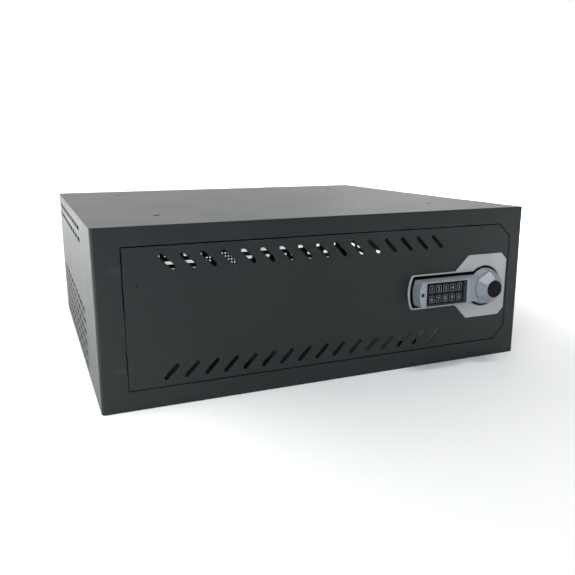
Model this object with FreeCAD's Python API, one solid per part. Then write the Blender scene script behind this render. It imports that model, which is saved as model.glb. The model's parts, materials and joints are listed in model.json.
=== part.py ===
"""Ventilated sheet-steel security cabinet with an inset hinged door and a keypad lock.

Millimetres. +Z is up, +X is to the right for a person facing the door, +Y runs from the door to the back.
The origin is the centre of the underside of the base. The door is modelled closed and unlocked.
"""

import FreeCAD, Part
import math
import os

from FreeCAD import Vector

# ---------------------------------------------------------------- cabinet
WIDTH = 550.0
DEPTH = 500.0
HEIGHT = 200.0
SHEET = 1.5
BEND = 4.0                      # outside radius of the upright front bends
EDGE_ROUND = 1.0                # rounding of the top and base panels' outer edges
REAR_CORNER = 1.5               # their rounding in plan at the rear corners
FRONT = -DEPTH / 2
BACK = DEPTH / 2
SIDE = WIDTH / 2
INNER_SIDE = SIDE - SHEET
TOP_UNDER = HEIGHT - SHEET

# ---------------------------------------------------------------- door and its opening
DOOR_GAP = 1.4
DOOR_LEFT = -244.9
DOOR_RIGHT = 254.3
DOOR_BOTTOM = 23.7
DOOR_TOP = 177.9
DOOR_CHAMFER = 16.5
DOOR_PAN_DEPTH = 13.7
DOOR_EDGE_ROUND = 1.0
FLANGE_DEPTH = 14.0             # how far the opening's edges are folded inwards
DOOR_BACK = FRONT + SHEET       # rear face of the door skin
FLANGE_END = FRONT + FLANGE_DEPTH
STOP_STARTS = (-120.0, 90.0)    # where the door stops begin
STOP_LENGTH = 36.0
STOP_HEIGHT = 11.0
CUTOUT_CLEARANCE = 0.2          # around the tray in the door's cut-out
STIFFENER_LEFT = -200.0
STIFFENER_RIGHT = 84.0
STIFFENER_DEPTH = 10.0
STIFFENER_FOOT = 24.0           # half heights of its hat section
STIFFENER_WEB = 14.0
STIFFENER_CROWN = 10.0
STIFFENER_INNER_WEB = 12.2
STIFFENER_INNER_CROWN = 8.8

# ---------------------------------------------------------------- ventilation
DOOR_SLOT_COUNT = 16
DOOR_SLOT_FIRST_X = -198.5
DOOR_SLOT_PITCH = 22.67
DOOR_SLOT_LENGTH = 23.0
DOOR_SLOT_WIDTH = 5.0
DOOR_SLOT_ROWS = ((161.0, -45.0), (38.9, 45.0))      # height of the row, slant in degrees
VENT_LENGTH = 27.8
VENT_WIDTH = 6.0
VENT_PITCH = 36.4
SIDE_VENT_FIRST_Y = -109.9
SIDE_VENT_COLUMNS = 10
SIDE_VENT_ROWS = (184.0, 170.0, 83.0, 69.0, 55.0, 41.0, 27.0, 13.0)
REAR_VENT_FIRST_X = -233.7
REAR_VENT_COLUMNS = 14
REAR_VENT_ROWS = (80.0, 66.0, 52.0, 38.0)
FAN_X = 4.2
FAN_Z = 43.4
FAN_HALF_SIZE = 40.0
FAN_RING_INNER = 26.0           # the sheet stays closed over the fan's hub
FAN_RING_OUTER = 39.0
FAN_HOLE_PITCH = 6.15
FAN_HOLE_RADIUS = 1.8
FAN_SCREW_SPACING = 71.5
FAN_SCREW_RADIUS = 2.0

# ---------------------------------------------------------------- fixing holes and cable port
FIXING_SPACING_X = 380.0
FIXING_SPACING_Y = 318.0
FIXING_RADIUS = 4.25
PORT_X = -190.0
PORT_Z = 130.0
PORT_WIDTH = 64.0
PORT_HEIGHT = 30.0
PORT_CORNER = 6.0
TRIM_LIP = 2.5
TRIM_WALL = 1.0

# ---------------------------------------------------------------- hinges
PIVOT_X = DOOR_LEFT + 14.0
PIVOT_Y = FRONT + 6.0
PIN_RADIUS = 2.0
RUNNING = 0.05                  # radial clearance of turning and sliding fits
EYE_RADIUS = 4.5
HINGE_HEIGHT = 24.0
HINGE_CENTRES = {"upper": 155.0, "lower": 47.0}
HINGE_PLATE = 2.5
SWING_RADIUS = 15.3             # reach of the door's hinged edge about the pivot
SWING_CLEARANCE = 1.3           # between that reach and the gooseneck
BRACKET_FOOT = 14.0
KNUCKLE_GAP = 0.2
LEAF_START = 6.0                # leaf edges, measured from the pivot
LEAF_END = 21.5
PIN_HEAD_RADIUS = 3.2
PIN_OVERHANG = 1.5
STUD_X = PIVOT_X + 0.5          # earth stud, whose weld leaves a dimple in the door's face
STUD_Z = 138.0
STUD_LENGTH = 12.0
STUD_FLANGE_RADIUS = 2.8
STUD_FLANGE_THICKNESS = 0.8
EARTH_NUT_OFFSET = 2.0
EARTH_NUT_RADIUS = 4.0
EARTH_NUT_THICKNESS = 3.2
DIMPLE_RADIUS = 1.5
DIMPLE_DEPTH = 0.3

# ---------------------------------------------------------------- lock
LOCK_X = 215.0
LOCK_Z = 99.0
ESCUTCHEON_LEFT = 172.0
ESCUTCHEON_RIGHT = 251.0
ESCUTCHEON_BOTTOM = 57.6
ESCUTCHEON_TOP = 140.6
ESCUTCHEON_LEFT_CORNER = 18.6   # how far the corners are cut off
ESCUTCHEON_RIGHT_CORNER = 8.5
PLATE_THICKNESS = 2.0
RIM_THICKNESS = 2.6
PAN_DEPTH = 8.5                 # how far the escutcheon's pan is sunk behind the door face
PAN_WALL = 1.5
PAN_HALF_HEIGHT = 20.5
PAN_END_X = 102.0
PAN_END_RADIUS = 49.0
PAN_ROUND = 27.0
PAN_CORNER = 2.0
RIM_WIDTH = 1.6
PLATE_ROUND = 0.5
HOUSING_HALF_HEIGHT = 16.5
HOUSING_END_X = 105.7
HOUSING_END_RADIUS = 45.0
HOUSING_RIGHT = 181.0
HOUSING_PROUD = 19.5
HOUSING_FOOT = 3.2              # where the casting stands on the tray's black plinth
PLINTH_INSET = 0.5
HOUSING_CORNER = 3.0
HOUSING_ROUND = 1.2
NECK_PROUD = 13.0
COLLAR_RADIUS = 24.0
COLLAR_PROUD = 12.0
COLLAR_SLOPE_FOOT = 4.6         # the collar slopes in from here to its front
COLLAR_SLOPE_INSET = 3.0
WINDOW_LEFT = 116.0
WINDOW_RIGHT = 176.3
WINDOW_BOTTOM = LOCK_Z - 14.9
WINDOW_TOP = LOCK_Z + 14.2
WINDOW_DEPTH = 6.5
BEVEL_DEPTH = 0.8               # of the bevel around the window's mouth
BEVEL_SIDE = 2.4
BEVEL_LONG = 0.4
FASCIA_THICKNESS = 1.5
FASCIA_WALL = 0.8               # lines the window up to the bevel
CAVITY_INSET = 2.0
CAVITY_FLOOR = 5.5
KEY_COLUMNS = 5
KEY_PITCH_X = 10.25
KEY_PITCH_Z = 13.0
KEYPAD_Z = LOCK_Z - 0.9
KEY_WIDTH = 8.3
KEY_HEIGHT = 9.3
KEY_CLEARANCE = 0.15
KEY_CORNER = 0.8
KEY_FLANGE = 0.75
KEY_FLANGE_THICKNESS = 1.0
KEY_STEM_RADIUS = 1.5
KEY_PROUD = 2.5
KEY_TRAVEL = 1.0
KEY_SPARE = 0.1                 # left between the stem and its switch at full travel
BOARD_THICKNESS = 1.6
SWITCH_RADIUS = 3.0
SWITCH_HEIGHT = 0.6
LENS_X = 109.9
LENS_RADIUS = 2.6
LENS_DEPTH = 6.0
LENS_BALL_RADIUS = 6.0          # the ball that its front is part of
LENS_INSET = 0.4
LEAD_X = 153.0
LEAD_HALF_WIDTH = 4.5
LEAD_HALF_THICKNESS = 0.5
LEAD_CLEARANCE = 0.5

# ---------------------------------------------------------------- knob and lock works
JOURNAL_RADIUS = 12.0
KNOB_SKIRT_RADIUS = 20.5
KNOB_BASE_RADIUS = 21.4          # corners of the grip's foot, trimmed to the skirt
KNOB_TOP_RADIUS = 13.6
SKIRT_ROUND = 0.7
RIDGE_ROUND = 1.0
TOP_ROUND = 0.5
KNOB_GAP = 0.3
KNOB_SKIRT_PROUD = 14.0
KNOB_PROUD = 24.5
CAP_RADIUS = 11.2
CAP_PROUD = 25.0
CAP_SEAT_DEPTH = 3.5
CYLINDER_RADIUS = 8.0
PLUG_RADIUS = 5.0
CYLINDER_LENGTH = 16.0
KEYWAY_DEPTH = 13.0
KEYWAY_HALF_WIDTH = 0.7
KEYWAY_HALF_HEIGHT = 3.6
WARD_REACH = 1.6                # side groove of the keyway
WARD_HALF_HEIGHT = 0.6
SPINDLE_SQUARE = 8.0
THREAD_RADIUS = 3.5
THREAD_LENGTH = 7.0
SHAFT_HOLE_RADIUS = 6.0
CASE_LEFT = 178.0
CASE_RIGHT = 250.0
CASE_HALF_HEIGHT = 42.0
CASE_WALL = 2.0
CASE_REAR = -218.0
COVER_THICKNESS = 1.2
CAM_FRONT = -214.5
CAM_THICKNESS = 3.0
CAM_REACH = 52.0
CAM_HALF_WIDTH = 10.0
CAM_CORNER = 4.0
CAM_NUT_RADIUS = 7.5
CAM_NUT_THICKNESS = 5.0
ROTOR_RADIUS = 14.0
ROTOR_THICKNESS = 6.0
NOTCH_DEPTH = 5.0
NOTCH_WIDTH = 5.6
BLOCK_Y = -229.0                # plane of the rotor and the blocking pin
BLOCK_RADIUS = 2.5
BLOCK_GAP = 1.0                 # between the drawn-back pin and the rotor
COIL_RADIUS = 8.0
COIL_LENGTH = 19.0
LOCK_SCREW_CIRCLE = 18.0
CASE_BOSS = 8.0
BOARD_WIDTH = 17.0
BOARD_HALF_HEIGHT = 28.0
RELAY_WIDTH = 10.0
RELAY_LENGTH = 16.0
RELAY_HEIGHT = 8.4
RELAY_Z = LOCK_Z + 4.0
CAPACITOR_RADIUS = 3.5
CAPACITOR_HEIGHT = 10.0
CAPACITOR_Z = LOCK_Z - 14.0
STRIKE_THICKNESS = 2.0
STRIKE_GAP = 0.4                # between the strike and the cam behind it
STRIKE_TIP_X = 257.5
STRIKE_HALF_HEIGHT = 28.0
STRIKE_FOOT = 20.0
SCREW_RADIUS = 2.0
SCREW_HEAD_RADIUS = 3.5
SCREW_CROSS = 2.2               # reach of the driving cross in a screw's head
SCREW_CROSS_DEPTH = 1.0
COVER_SCREW_HEAD = 1.8          # thickness of each kind of screw's head
LOCK_SCREW_HEAD = 2.4
BATTERY_SCREW_HEAD = 2.0
COVER_SCREW_LENGTH = 8.0
LOCK_SCREW_BITE = 7.0           # length of thread in the casting
CASTING_HOLE_DEPTH = 8.0
CASE_HOLE_DEPTH = 10.0

# ---------------------------------------------------------------- battery holder
CELL_COUNT = 4
CELL_RADIUS = 7.0
CELL_LENGTH = 49.5
CELL_PITCH = 15.2
CELL_NUB_RADIUS = 2.6
CELL_NUB_HEIGHT = 1.2
HOLDER_LEFT = 104.0
HOLDER_RIGHT = 164.0
HOLDER_HALF_HEIGHT = 33.0
HOLDER_DEPTH = 17.0
HOLDER_WALL = 1.5
HOLDER_LID = 1.2
EAR_HALF_WIDTH = 4.0
EAR_THICKNESS = 3.0
RIB_COUNT = 4
RIB_INSET = 6.0
RIB_PITCH = 3.0
RIB_WIDTH = 1.2
RIB_HEIGHT = 0.8
RIB_HALF_LENGTH = 9.0
WIRE_RADIUS = 1.1
WIRE_DEPTH = 6.0                # how far the lead's wires run behind the tray
WIRE_HEIGHTS = (LOCK_Z + 12.0, LOCK_Z + 15.0)
WIRE_HOLE_RADIUS = 1.2

UP = Vector(0, 0, 1)
RIGHT = Vector(1, 0, 0)
INWARD = Vector(0, 1, 0)


def proud(distance):
    """The Y coordinate of a plane that stands this far in front of the door face."""
    return FRONT - distance


# planes and places derived from the dimensions above; *_FRONT and *_REAR heights are distances for proud()
PAN_FLOOR = FRONT + PAN_DEPTH
PAN_REAR = PAN_FLOOR + PAN_WALL
FASCIA_FRONT = HOUSING_PROUD - WINDOW_DEPTH
FASCIA_REAR = FASCIA_FRONT - FASCIA_THICKNESS
BOARD_FRONT = CAVITY_FLOOR + BOARD_THICKNESS
SWITCH_FRONT = BOARD_FRONT + SWITCH_HEIGHT
CASE_BOTTOM = LOCK_Z - CASE_HALF_HEIGHT
CASE_TOP = LOCK_Z + CASE_HALF_HEIGHT
COIL_BOTTOM = CASE_BOTTOM + CASE_WALL + SHEET
COIL_TOP = COIL_BOTTOM + COIL_LENGTH
HOLDER_REAR = PAN_REAR + HOLDER_DEPTH
HOLDER_BOTTOM = LOCK_Z - HOLDER_HALF_HEIGHT
HOLDER_TOP = LOCK_Z + HOLDER_HALF_HEIGHT


# ---------------------------------------------------------------- helpers
def block(x0, x1, y0, y1, z0, z1):
    return Part.makeBox(x1 - x0, y1 - y0, z1 - z0, Vector(x0, y0, z0))


def rod(radius, start, direction, length):
    return Part.makeCylinder(radius, length, Vector(*start), direction)


def in_xy(z):
    return lambda u, v: Vector(u, v, z)


def in_xz(y):
    return lambda u, v: Vector(u, y, v)


def in_yz(x):
    return lambda u, v: Vector(x, u, v)


def wire(segments, place):
    """A closed wire from flat segments: two points make a line, three points make an arc."""
    edges = []
    for segment in segments:
        points = [place(*point) for point in segment]
        curve = Part.LineSegment(*points) if len(points) == 2 else Part.Arc(*points)
        edges.append(curve.toShape())
    return Part.Wire(edges)


def polygon(points):
    return list(zip(points, points[1:] + points[:1]))


def rectangle(u0, u1, v0, v1):
    return polygon([(u0, v0), (u1, v0), (u1, v1), (u0, v1)])


def polar(cu, cv, radius, degrees):
    angle = math.radians(degrees)
    return (cu + radius * math.cos(angle), cv + radius * math.sin(angle))


def circle(cu, cv, radius):
    quarter = [polar(cu, cv, radius, 90 * i) for i in range(4)]
    return [(quarter[0], quarter[1], quarter[2]), (quarter[2], quarter[3], quarter[0])]


def stadium(cu, cv, length, width, degrees=0.0):
    """A slot with round ends, length measured end to end, turned about its own centre."""
    r = width / 2
    half = length / 2 - r
    outline = [
        ((-half, -r), (half, -r)),
        ((half, -r), (half + r, 0), (half, r)),
        ((half, r), (-half, r)),
        ((-half, r), (-half - r, 0), (-half, -r)),
    ]
    c, s = math.cos(math.radians(degrees)), math.sin(math.radians(degrees))
    return [tuple((cu + u * c - v * s, cv + u * s + v * c) for u, v in seg) for seg in outline]


def rounded_rectangle(u0, u1, v0, v1, radii):
    """radii are for the corners (u0,v0), (u1,v0), (u1,v1), (u0,v1)."""
    corners = [(u0, v0, 180), (u1, v0, 270), (u1, v1, 0), (u0, v1, 90)]
    arcs = []
    for (u, v, start), r in zip(corners, radii):
        cu = u + r if u == u0 else u - r
        cv = v + r if v == v0 else v - r
        arcs.append(tuple(polar(cu, cv, r, start + turn) for turn in (0, 45, 90)))
    outline = []
    for i, arc in enumerate(arcs):
        outline.append(arc)
        outline.append((arc[2], arcs[(i + 1) % 4][0]))
    return outline


def plate(place, outline, holes, push):
    """A flat sheet with holes, made by pushing a face along a vector."""
    face = Part.Face([wire(outline, place)] + [wire(hole, place) for hole in holes])
    face.validate()
    return face.extrude(push)


def prism_y(outline, y0, y1, holes=()):
    """A prism whose section lies in the XZ plane."""
    return plate(in_xz(y0), outline, holes, INWARD * (y1 - y0))


def fuse(shapes):
    return shapes[0].multiFuse(shapes[1:]).removeSplitter()


def cut(shape, tools):
    return shape.cut(tools)


def outer_edges(shape, z):
    """The edges of a panel's outline at one height, without those of its holes."""
    found = []
    for edge in shape.Edges:
        box = edge.BoundBox
        flat = abs(box.ZMin - z) < 0.001 and abs(box.ZMax - z) < 0.001
        at_rim = max(abs(box.XMin), abs(box.XMax)) > SIDE - BEND - 0.01
        at_end = max(abs(box.YMin), abs(box.YMax)) > BACK - BEND - 0.01
        if flat and (at_rim or at_end):
            found.append(edge)
    return found


def hexagon(cx, cz, radius, first_degrees):
    return [polar(cx, cz, radius, first_degrees + 60 * i) for i in range(6)]


def screws(places, head_y, head_length, shank_length):
    """Pan-head screws driven along Y from behind: the head sits behind the plane head_y."""
    solids = []
    for x, z in places:
        shank = rod(SCREW_RADIUS, (x, head_y - shank_length, z), INWARD, shank_length)
        head = rod(SCREW_HEAD_RADIUS, (x, head_y, z), INWARD, head_length)
        y0, y1 = head_y + head_length - SCREW_CROSS_DEPTH, head_y + head_length
        cross = fuse([
            block(x - SCREW_CROSS, x + SCREW_CROSS, y0, y1, z - 0.4, z + 0.4),
            block(x - 0.4, x + 0.4, y0, y1, z - SCREW_CROSS, z + SCREW_CROSS),
        ])
        solids.append(cut(fuse([shank, head]), [cross]))
    return Part.makeCompound(solids)


# ---------------------------------------------------------------- cabinet shell
def side_panel(side):
    """A side sheet with its upright front bend and its ventilation slots."""
    vents = []
    for row in SIDE_VENT_ROWS:
        for column in range(SIDE_VENT_COLUMNS):
            vents.append(stadium(SIDE_VENT_FIRST_Y + column * VENT_PITCH, row, VENT_LENGTH, VENT_WIDTH))
    outer_x = side * SIDE
    outline = rectangle(FRONT + BEND, BACK, SHEET, TOP_UNDER)
    flat = plate(in_yz(outer_x), outline, vents, RIGHT * (-side * SHEET))
    centre = (side * (SIDE - BEND), FRONT + BEND, SHEET)
    ring = rod(BEND, centre, UP, TOP_UNDER - SHEET).cut(rod(BEND - SHEET, centre, UP, TOP_UNDER - SHEET))
    low_x = min(centre[0], outer_x)
    quarter = ring.common(block(low_x, low_x + BEND, FRONT, FRONT + BEND, SHEET, TOP_UNDER))
    return fuse([flat, quarter])


def fixing_holes():
    places = [(i * FIXING_SPACING_X / 2, j * FIXING_SPACING_Y / 2) for i in (-1, 1) for j in (-1, 1)]
    return [circle(x, y, FIXING_RADIUS) for x, y in places]


def lid_sheet(z0, outer_z):
    """The top or base sheet, rounded along its outer edges at outer_z."""
    outline = rounded_rectangle(-SIDE, SIDE, FRONT, BACK, (BEND, BEND, REAR_CORNER, REAR_CORNER))
    sheet = plate(in_xy(z0), outline, fixing_holes(), UP * SHEET)
    return sheet.makeFillet(EDGE_ROUND, outer_edges(sheet, outer_z))


def rear_vents():
    """Slots in rows, left out where the fan position is."""
    vents = []
    for z in REAR_VENT_ROWS:
        for column in range(REAR_VENT_COLUMNS):
            x = REAR_VENT_FIRST_X + column * VENT_PITCH
            if abs(x - FAN_X) > FAN_HALF_SIZE:
                vents.append(stadium(x, z, VENT_LENGTH, VENT_WIDTH))
    return vents


def fan_grille():
    """Round holes on a square grid, in a ring behind a fan's blades."""
    holes = []
    reach = int(FAN_RING_OUTER / FAN_HOLE_PITCH) + 1
    for row in range(-reach, reach):
        for column in range(-reach, reach + 1):
            dx = column * FAN_HOLE_PITCH
            dz = (row + 0.5) * FAN_HOLE_PITCH
            if FAN_RING_INNER <= math.hypot(dx, dz) <= FAN_RING_OUTER:
                holes.append(circle(FAN_X + dx, FAN_Z + dz, FAN_HOLE_RADIUS))
    return holes


def fan_screw_holes():
    offset = FAN_SCREW_SPACING / 2
    corners = [(i * offset, j * offset) for i in (-1, 1) for j in (-1, 1)]
    return [circle(FAN_X + dx, FAN_Z + dz, FAN_SCREW_RADIUS) for dx, dz in corners]


def port_outline(grow):
    """The rear cable port's outline, grown outwards."""
    half_w = PORT_WIDTH / 2 + grow
    half_h = PORT_HEIGHT / 2 + grow
    return rounded_rectangle(PORT_X - half_w, PORT_X + half_w, PORT_Z - half_h, PORT_Z + half_h,
                             [PORT_CORNER + grow] * 4)


def rear_panel():
    """The rear sheet with its slots, the fan position and the cable port."""
    outline = rectangle(-INNER_SIDE, INNER_SIDE, SHEET, TOP_UNDER)
    holes = rear_vents() + fan_grille() + fan_screw_holes() + [port_outline(0.0)]
    return prism_y(outline, BACK - SHEET, BACK, holes)


def cable_port_trim():
    """Rubber edging that grips the cable port's edge from both sides."""
    inner_face = BACK - SHEET
    opening = [port_outline(-TRIM_WALL)]
    outside = prism_y(port_outline(TRIM_LIP), BACK, BACK + TRIM_WALL, opening)
    sleeve = prism_y(port_outline(0.0), inner_face, BACK, opening)
    inside = prism_y(port_outline(TRIM_LIP), inner_face - TRIM_WALL, inner_face, opening)
    return fuse([outside, sleeve, inside])


def door_outline(grow):
    """The door's outline with its two cut-off corners, grown outwards."""
    left, right = DOOR_LEFT - grow, DOOR_RIGHT + grow
    bottom, top = DOOR_BOTTOM - grow, DOOR_TOP + grow
    corner = DOOR_CHAMFER + grow * (2 - math.sqrt(2))
    return polygon([
        (left, bottom), (right - corner, bottom), (right, bottom + corner),
        (right, top - corner), (right - corner, top), (left, top),
    ])


def front_frame():
    """The front sheet around the door, with the opening's edges folded inwards except at the hinges."""
    edge_x = SIDE - BEND
    face = prism_y(rectangle(-edge_x, edge_x, SHEET, TOP_UNDER), FRONT, DOOR_BACK, [door_outline(DOOR_GAP)])
    flange = prism_y(door_outline(DOOR_GAP + SHEET), DOOR_BACK, FLANGE_END, [door_outline(DOOR_GAP)])
    hinge_side = block(-SIDE, PIVOT_X + SWING_RADIUS, FRONT, 0, 0, HEIGHT)
    return fuse([face, cut(flange, [hinge_side])])


def strike_bracket():
    """The angle on the right wall that the cam swings behind."""
    rear_face = CAM_FRONT - STRIKE_GAP
    z0, z1 = LOCK_Z - STRIKE_HALF_HEIGHT, LOCK_Z + STRIKE_HALF_HEIGHT
    catch = block(STRIKE_TIP_X, INNER_SIDE, rear_face - STRIKE_THICKNESS, rear_face, z0, z1)
    foot = block(INNER_SIDE - STRIKE_THICKNESS, INNER_SIDE, rear_face, rear_face + STRIKE_FOOT, z0, z1)
    return fuse([catch, foot])


def door_stops():
    """Tabs on the folded edges of the opening that the door closes against."""
    tabs = []
    top = DOOR_TOP + DOOR_GAP + SHEET
    bottom = DOOR_BOTTOM - DOOR_GAP - SHEET
    for x in STOP_STARTS:
        for z0, z1 in ((top - STOP_HEIGHT, top), (bottom, bottom + STOP_HEIGHT)):
            tabs.append(block(x, x + STOP_LENGTH, FLANGE_END, FLANGE_END + SHEET, z0, z1))
    return Part.makeCompound(tabs)


# ---------------------------------------------------------------- hinges
def hinge_bracket(centre_z):
    """A gooseneck strip from the frame round the swing of the door's edge, with two eyes for the pin."""
    z0 = centre_z - HINGE_HEIGHT / 2
    z1 = centre_z + HINGE_HEIGHT / 2
    neck_x = PIVOT_X - SWING_RADIUS - SWING_CLEARANCE
    back_y = PIVOT_Y + SWING_RADIUS + SWING_CLEARANCE
    arm_x = PIVOT_X + EYE_RADIUS
    foot_x = neck_x - HINGE_PLATE - BRACKET_FOOT
    foot = block(foot_x, neck_x, DOOR_BACK, DOOR_BACK + HINGE_PLATE, z0, z1)
    neck = block(neck_x - HINGE_PLATE, neck_x, DOOR_BACK, back_y + HINGE_PLATE, z0, z1)
    across = block(neck_x - HINGE_PLATE, arm_x, back_y, back_y + HINGE_PLATE, z0, z1)
    arm = block(arm_x - HINGE_PLATE, arm_x, PIVOT_Y, back_y + HINGE_PLATE, z0, z1)
    eye = rod(EYE_RADIUS, (PIVOT_X, PIVOT_Y, z0), UP, HINGE_HEIGHT)
    strip = fuse([foot, neck, across, arm, eye])
    third = HINGE_HEIGHT / 3
    knuckle_room = rod(EYE_RADIUS + 0.6, (PIVOT_X, PIVOT_Y, z0 + third), UP, third)
    pin_hole = rod(PIN_RADIUS, (PIVOT_X, PIVOT_Y, z0), UP, HINGE_HEIGHT)
    return cut(strip, [knuckle_room, pin_hole])


def hinge_leaf(centre_z):
    """The door's half of a hinge: a knuckle between the bracket's eyes and a leaf welded to the door."""
    half = HINGE_HEIGHT / 6 - KNUCKLE_GAP
    knuckle = rod(EYE_RADIUS, (PIVOT_X, PIVOT_Y, centre_z - half), UP, 2 * half)
    tongue = block(PIVOT_X, PIVOT_X + LEAF_START, DOOR_BACK, DOOR_BACK + SHEET,
                   centre_z - half, centre_z + half)
    leaf = block(PIVOT_X + LEAF_START, PIVOT_X + LEAF_END, DOOR_BACK, DOOR_BACK + SHEET,
                 centre_z - HINGE_HEIGHT / 2, centre_z + HINGE_HEIGHT / 2)
    hole = rod(PIN_RADIUS + RUNNING, (PIVOT_X, PIVOT_Y, centre_z - HINGE_HEIGHT), UP, 2 * HINGE_HEIGHT)
    return cut(fuse([knuckle, tongue, leaf]), [hole])


def hinge_pin(centre_z):
    """A headed pin pressed into the bracket's eyes."""
    z0 = centre_z - HINGE_HEIGHT / 2
    head = rod(PIN_HEAD_RADIUS, (PIVOT_X, PIVOT_Y, z0 + HINGE_HEIGHT), UP, PIN_OVERHANG)
    shank = rod(PIN_RADIUS, (PIVOT_X, PIVOT_Y, z0 - PIN_OVERHANG), UP, HINGE_HEIGHT + PIN_OVERHANG)
    return fuse([shank, head])


# ---------------------------------------------------------------- door
def door_slots():
    """Two rows of slanted slots: the upper row leans one way and the lower row the other."""
    slots = []
    for height, slant in DOOR_SLOT_ROWS:
        for i in range(DOOR_SLOT_COUNT):
            x = DOOR_SLOT_FIRST_X + i * DOOR_SLOT_PITCH
            slots.append(stadium(x, height, DOOR_SLOT_LENGTH, DOOR_SLOT_WIDTH, slant))
    return slots


def door_panel():
    """The door's outer sheet with three edges folded back, its slots and the cut-out for the lock."""
    skin = prism_y(door_outline(0.0), FRONT, DOOR_BACK, door_slots())
    hinge_edge = [
        edge for edge in skin.Edges
        if edge.BoundBox.XMax < DOOR_LEFT + 0.01 and edge.BoundBox.YMax < FRONT + 0.01
    ]
    skin = skin.makeFillet(DOOR_EDGE_ROUND, hinge_edge)
    fold = prism_y(door_outline(0.0), DOOR_BACK, FRONT + DOOR_PAN_DEPTH, [door_outline(-SHEET)])
    fold = cut(fold, [block(-SIDE, DOOR_LEFT + 3.0, FRONT, 0, 0, HEIGHT)])
    panel = fuse([skin, fold])
    weld_dimple = rod(DIMPLE_RADIUS, (STUD_X, FRONT, STUD_Z), INWARD, DIMPLE_DEPTH)
    return cut(panel, [pan_body(PAN_WALL + CUTOUT_CLEARANCE, FRONT, DOOR_BACK), weld_dimple])


def door_stiffener():
    """A hat channel welded across the back of the door."""
    crown_y = DOOR_BACK + STIFFENER_DEPTH
    foot_y = DOOR_BACK + SHEET
    outer = polygon([
        (DOOR_BACK, LOCK_Z - STIFFENER_FOOT), (foot_y, LOCK_Z - STIFFENER_FOOT),
        (foot_y, LOCK_Z - STIFFENER_WEB), (crown_y, LOCK_Z - STIFFENER_CROWN),
        (crown_y, LOCK_Z + STIFFENER_CROWN), (foot_y, LOCK_Z + STIFFENER_WEB),
        (foot_y, LOCK_Z + STIFFENER_FOOT), (DOOR_BACK, LOCK_Z + STIFFENER_FOOT),
    ])
    hollow = polygon([
        (DOOR_BACK, LOCK_Z - STIFFENER_INNER_WEB), (crown_y - SHEET, LOCK_Z - STIFFENER_INNER_CROWN),
        (crown_y - SHEET, LOCK_Z + STIFFENER_INNER_CROWN), (DOOR_BACK, LOCK_Z + STIFFENER_INNER_WEB),
    ])
    run = RIGHT * (STIFFENER_RIGHT - STIFFENER_LEFT)
    return cut(plate(in_yz(STIFFENER_LEFT), outer, [], run), [plate(in_yz(STIFFENER_LEFT), hollow, [], run)])


def earth_stud():
    """A threaded stud welded behind the door for its earth wire, with its foot flange."""
    start = (STUD_X, DOOR_BACK, STUD_Z)
    flange = rod(STUD_FLANGE_RADIUS, start, INWARD, STUD_FLANGE_THICKNESS)
    return fuse([rod(SCREW_RADIUS, start, INWARD, STUD_LENGTH), flange])


def hex_nut(x, z, y0, radius, thickness, hole_radius):
    return prism_y(polygon(hexagon(x, z, radius, 0)), y0, y0 + thickness, [circle(x, z, hole_radius)])


def earth_nut():
    front_y = DOOR_BACK + EARTH_NUT_OFFSET
    return hex_nut(STUD_X, STUD_Z, front_y, EARTH_NUT_RADIUS, EARTH_NUT_THICKNESS, SCREW_RADIUS)


# ---------------------------------------------------------------- lock, outside
def slot_body(half_height, end_x, end_radius, right_x, y0, y1, corner):
    """A bar with a bulging left end, rounded where it meets the long sides, and a flat right end."""
    centre_x = end_x + end_radius
    bar = block(end_x, right_x, y0, y1, LOCK_Z - half_height, LOCK_Z + half_height)
    bulge = rod(end_radius, (centre_x, y0, LOCK_Z), INWARD, y1 - y0)
    beyond = block(centre_x, right_x, y0, y1, LOCK_Z - half_height, LOCK_Z + half_height)
    body = fuse([bar.common(bulge), beyond])
    corners = [
        edge for edge in body.Edges
        if edge.BoundBox.YLength > y1 - y0 - 0.01 and edge.BoundBox.XMax < centre_x
    ]
    return body.makeFillet(corner, corners)


def front_edges(shape, y):
    """The edges that lie in the plane y."""
    return [edge for edge in shape.Edges if edge.BoundBox.YMax < y + 0.01 and edge.BoundBox.YMin > y - 0.01]


def pan_body(grow, y0, y1):
    """The outline shared by the pan, its rim and the hole in the door: a bar that ends in a round."""
    bar = slot_body(PAN_HALF_HEIGHT + grow, PAN_END_X - grow, PAN_END_RADIUS + grow, LOCK_X, y0, y1,
                    PAN_CORNER + grow)
    return fuse([bar, rod(PAN_ROUND + grow, (LOCK_X, y0, LOCK_Z), INWARD, y1 - y0)])


def escutcheon_outline():
    """The eight-sided plate around the knob."""
    left, right = ESCUTCHEON_LEFT, ESCUTCHEON_RIGHT
    bottom, top = ESCUTCHEON_BOTTOM, ESCUTCHEON_TOP
    wide, narrow = ESCUTCHEON_LEFT_CORNER, ESCUTCHEON_RIGHT_CORNER
    return polygon([
        (left + wide, top), (left, top - wide), (left, bottom + wide), (left + wide, bottom),
        (right - narrow, bottom), (right, bottom + narrow), (right, top - narrow), (right - narrow, top),
    ])


def lock_escutcheon():
    """Cast plate with a low rim around the opening that the keypad housing and knob stand in."""
    octagon = prism_y(escutcheon_outline(), proud(PLATE_THICKNESS), FRONT)
    octagon = octagon.makeFillet(PLATE_ROUND, front_edges(octagon, proud(PLATE_THICKNESS)))
    rim = pan_body(RIM_WIDTH, proud(RIM_THICKNESS), FRONT)
    rim = rim.makeFillet(PLATE_ROUND, front_edges(rim, proud(RIM_THICKNESS)))
    return cut(fuse([octagon, rim]), [pan_body(0.0, proud(RIM_THICKNESS), FRONT)])


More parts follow.
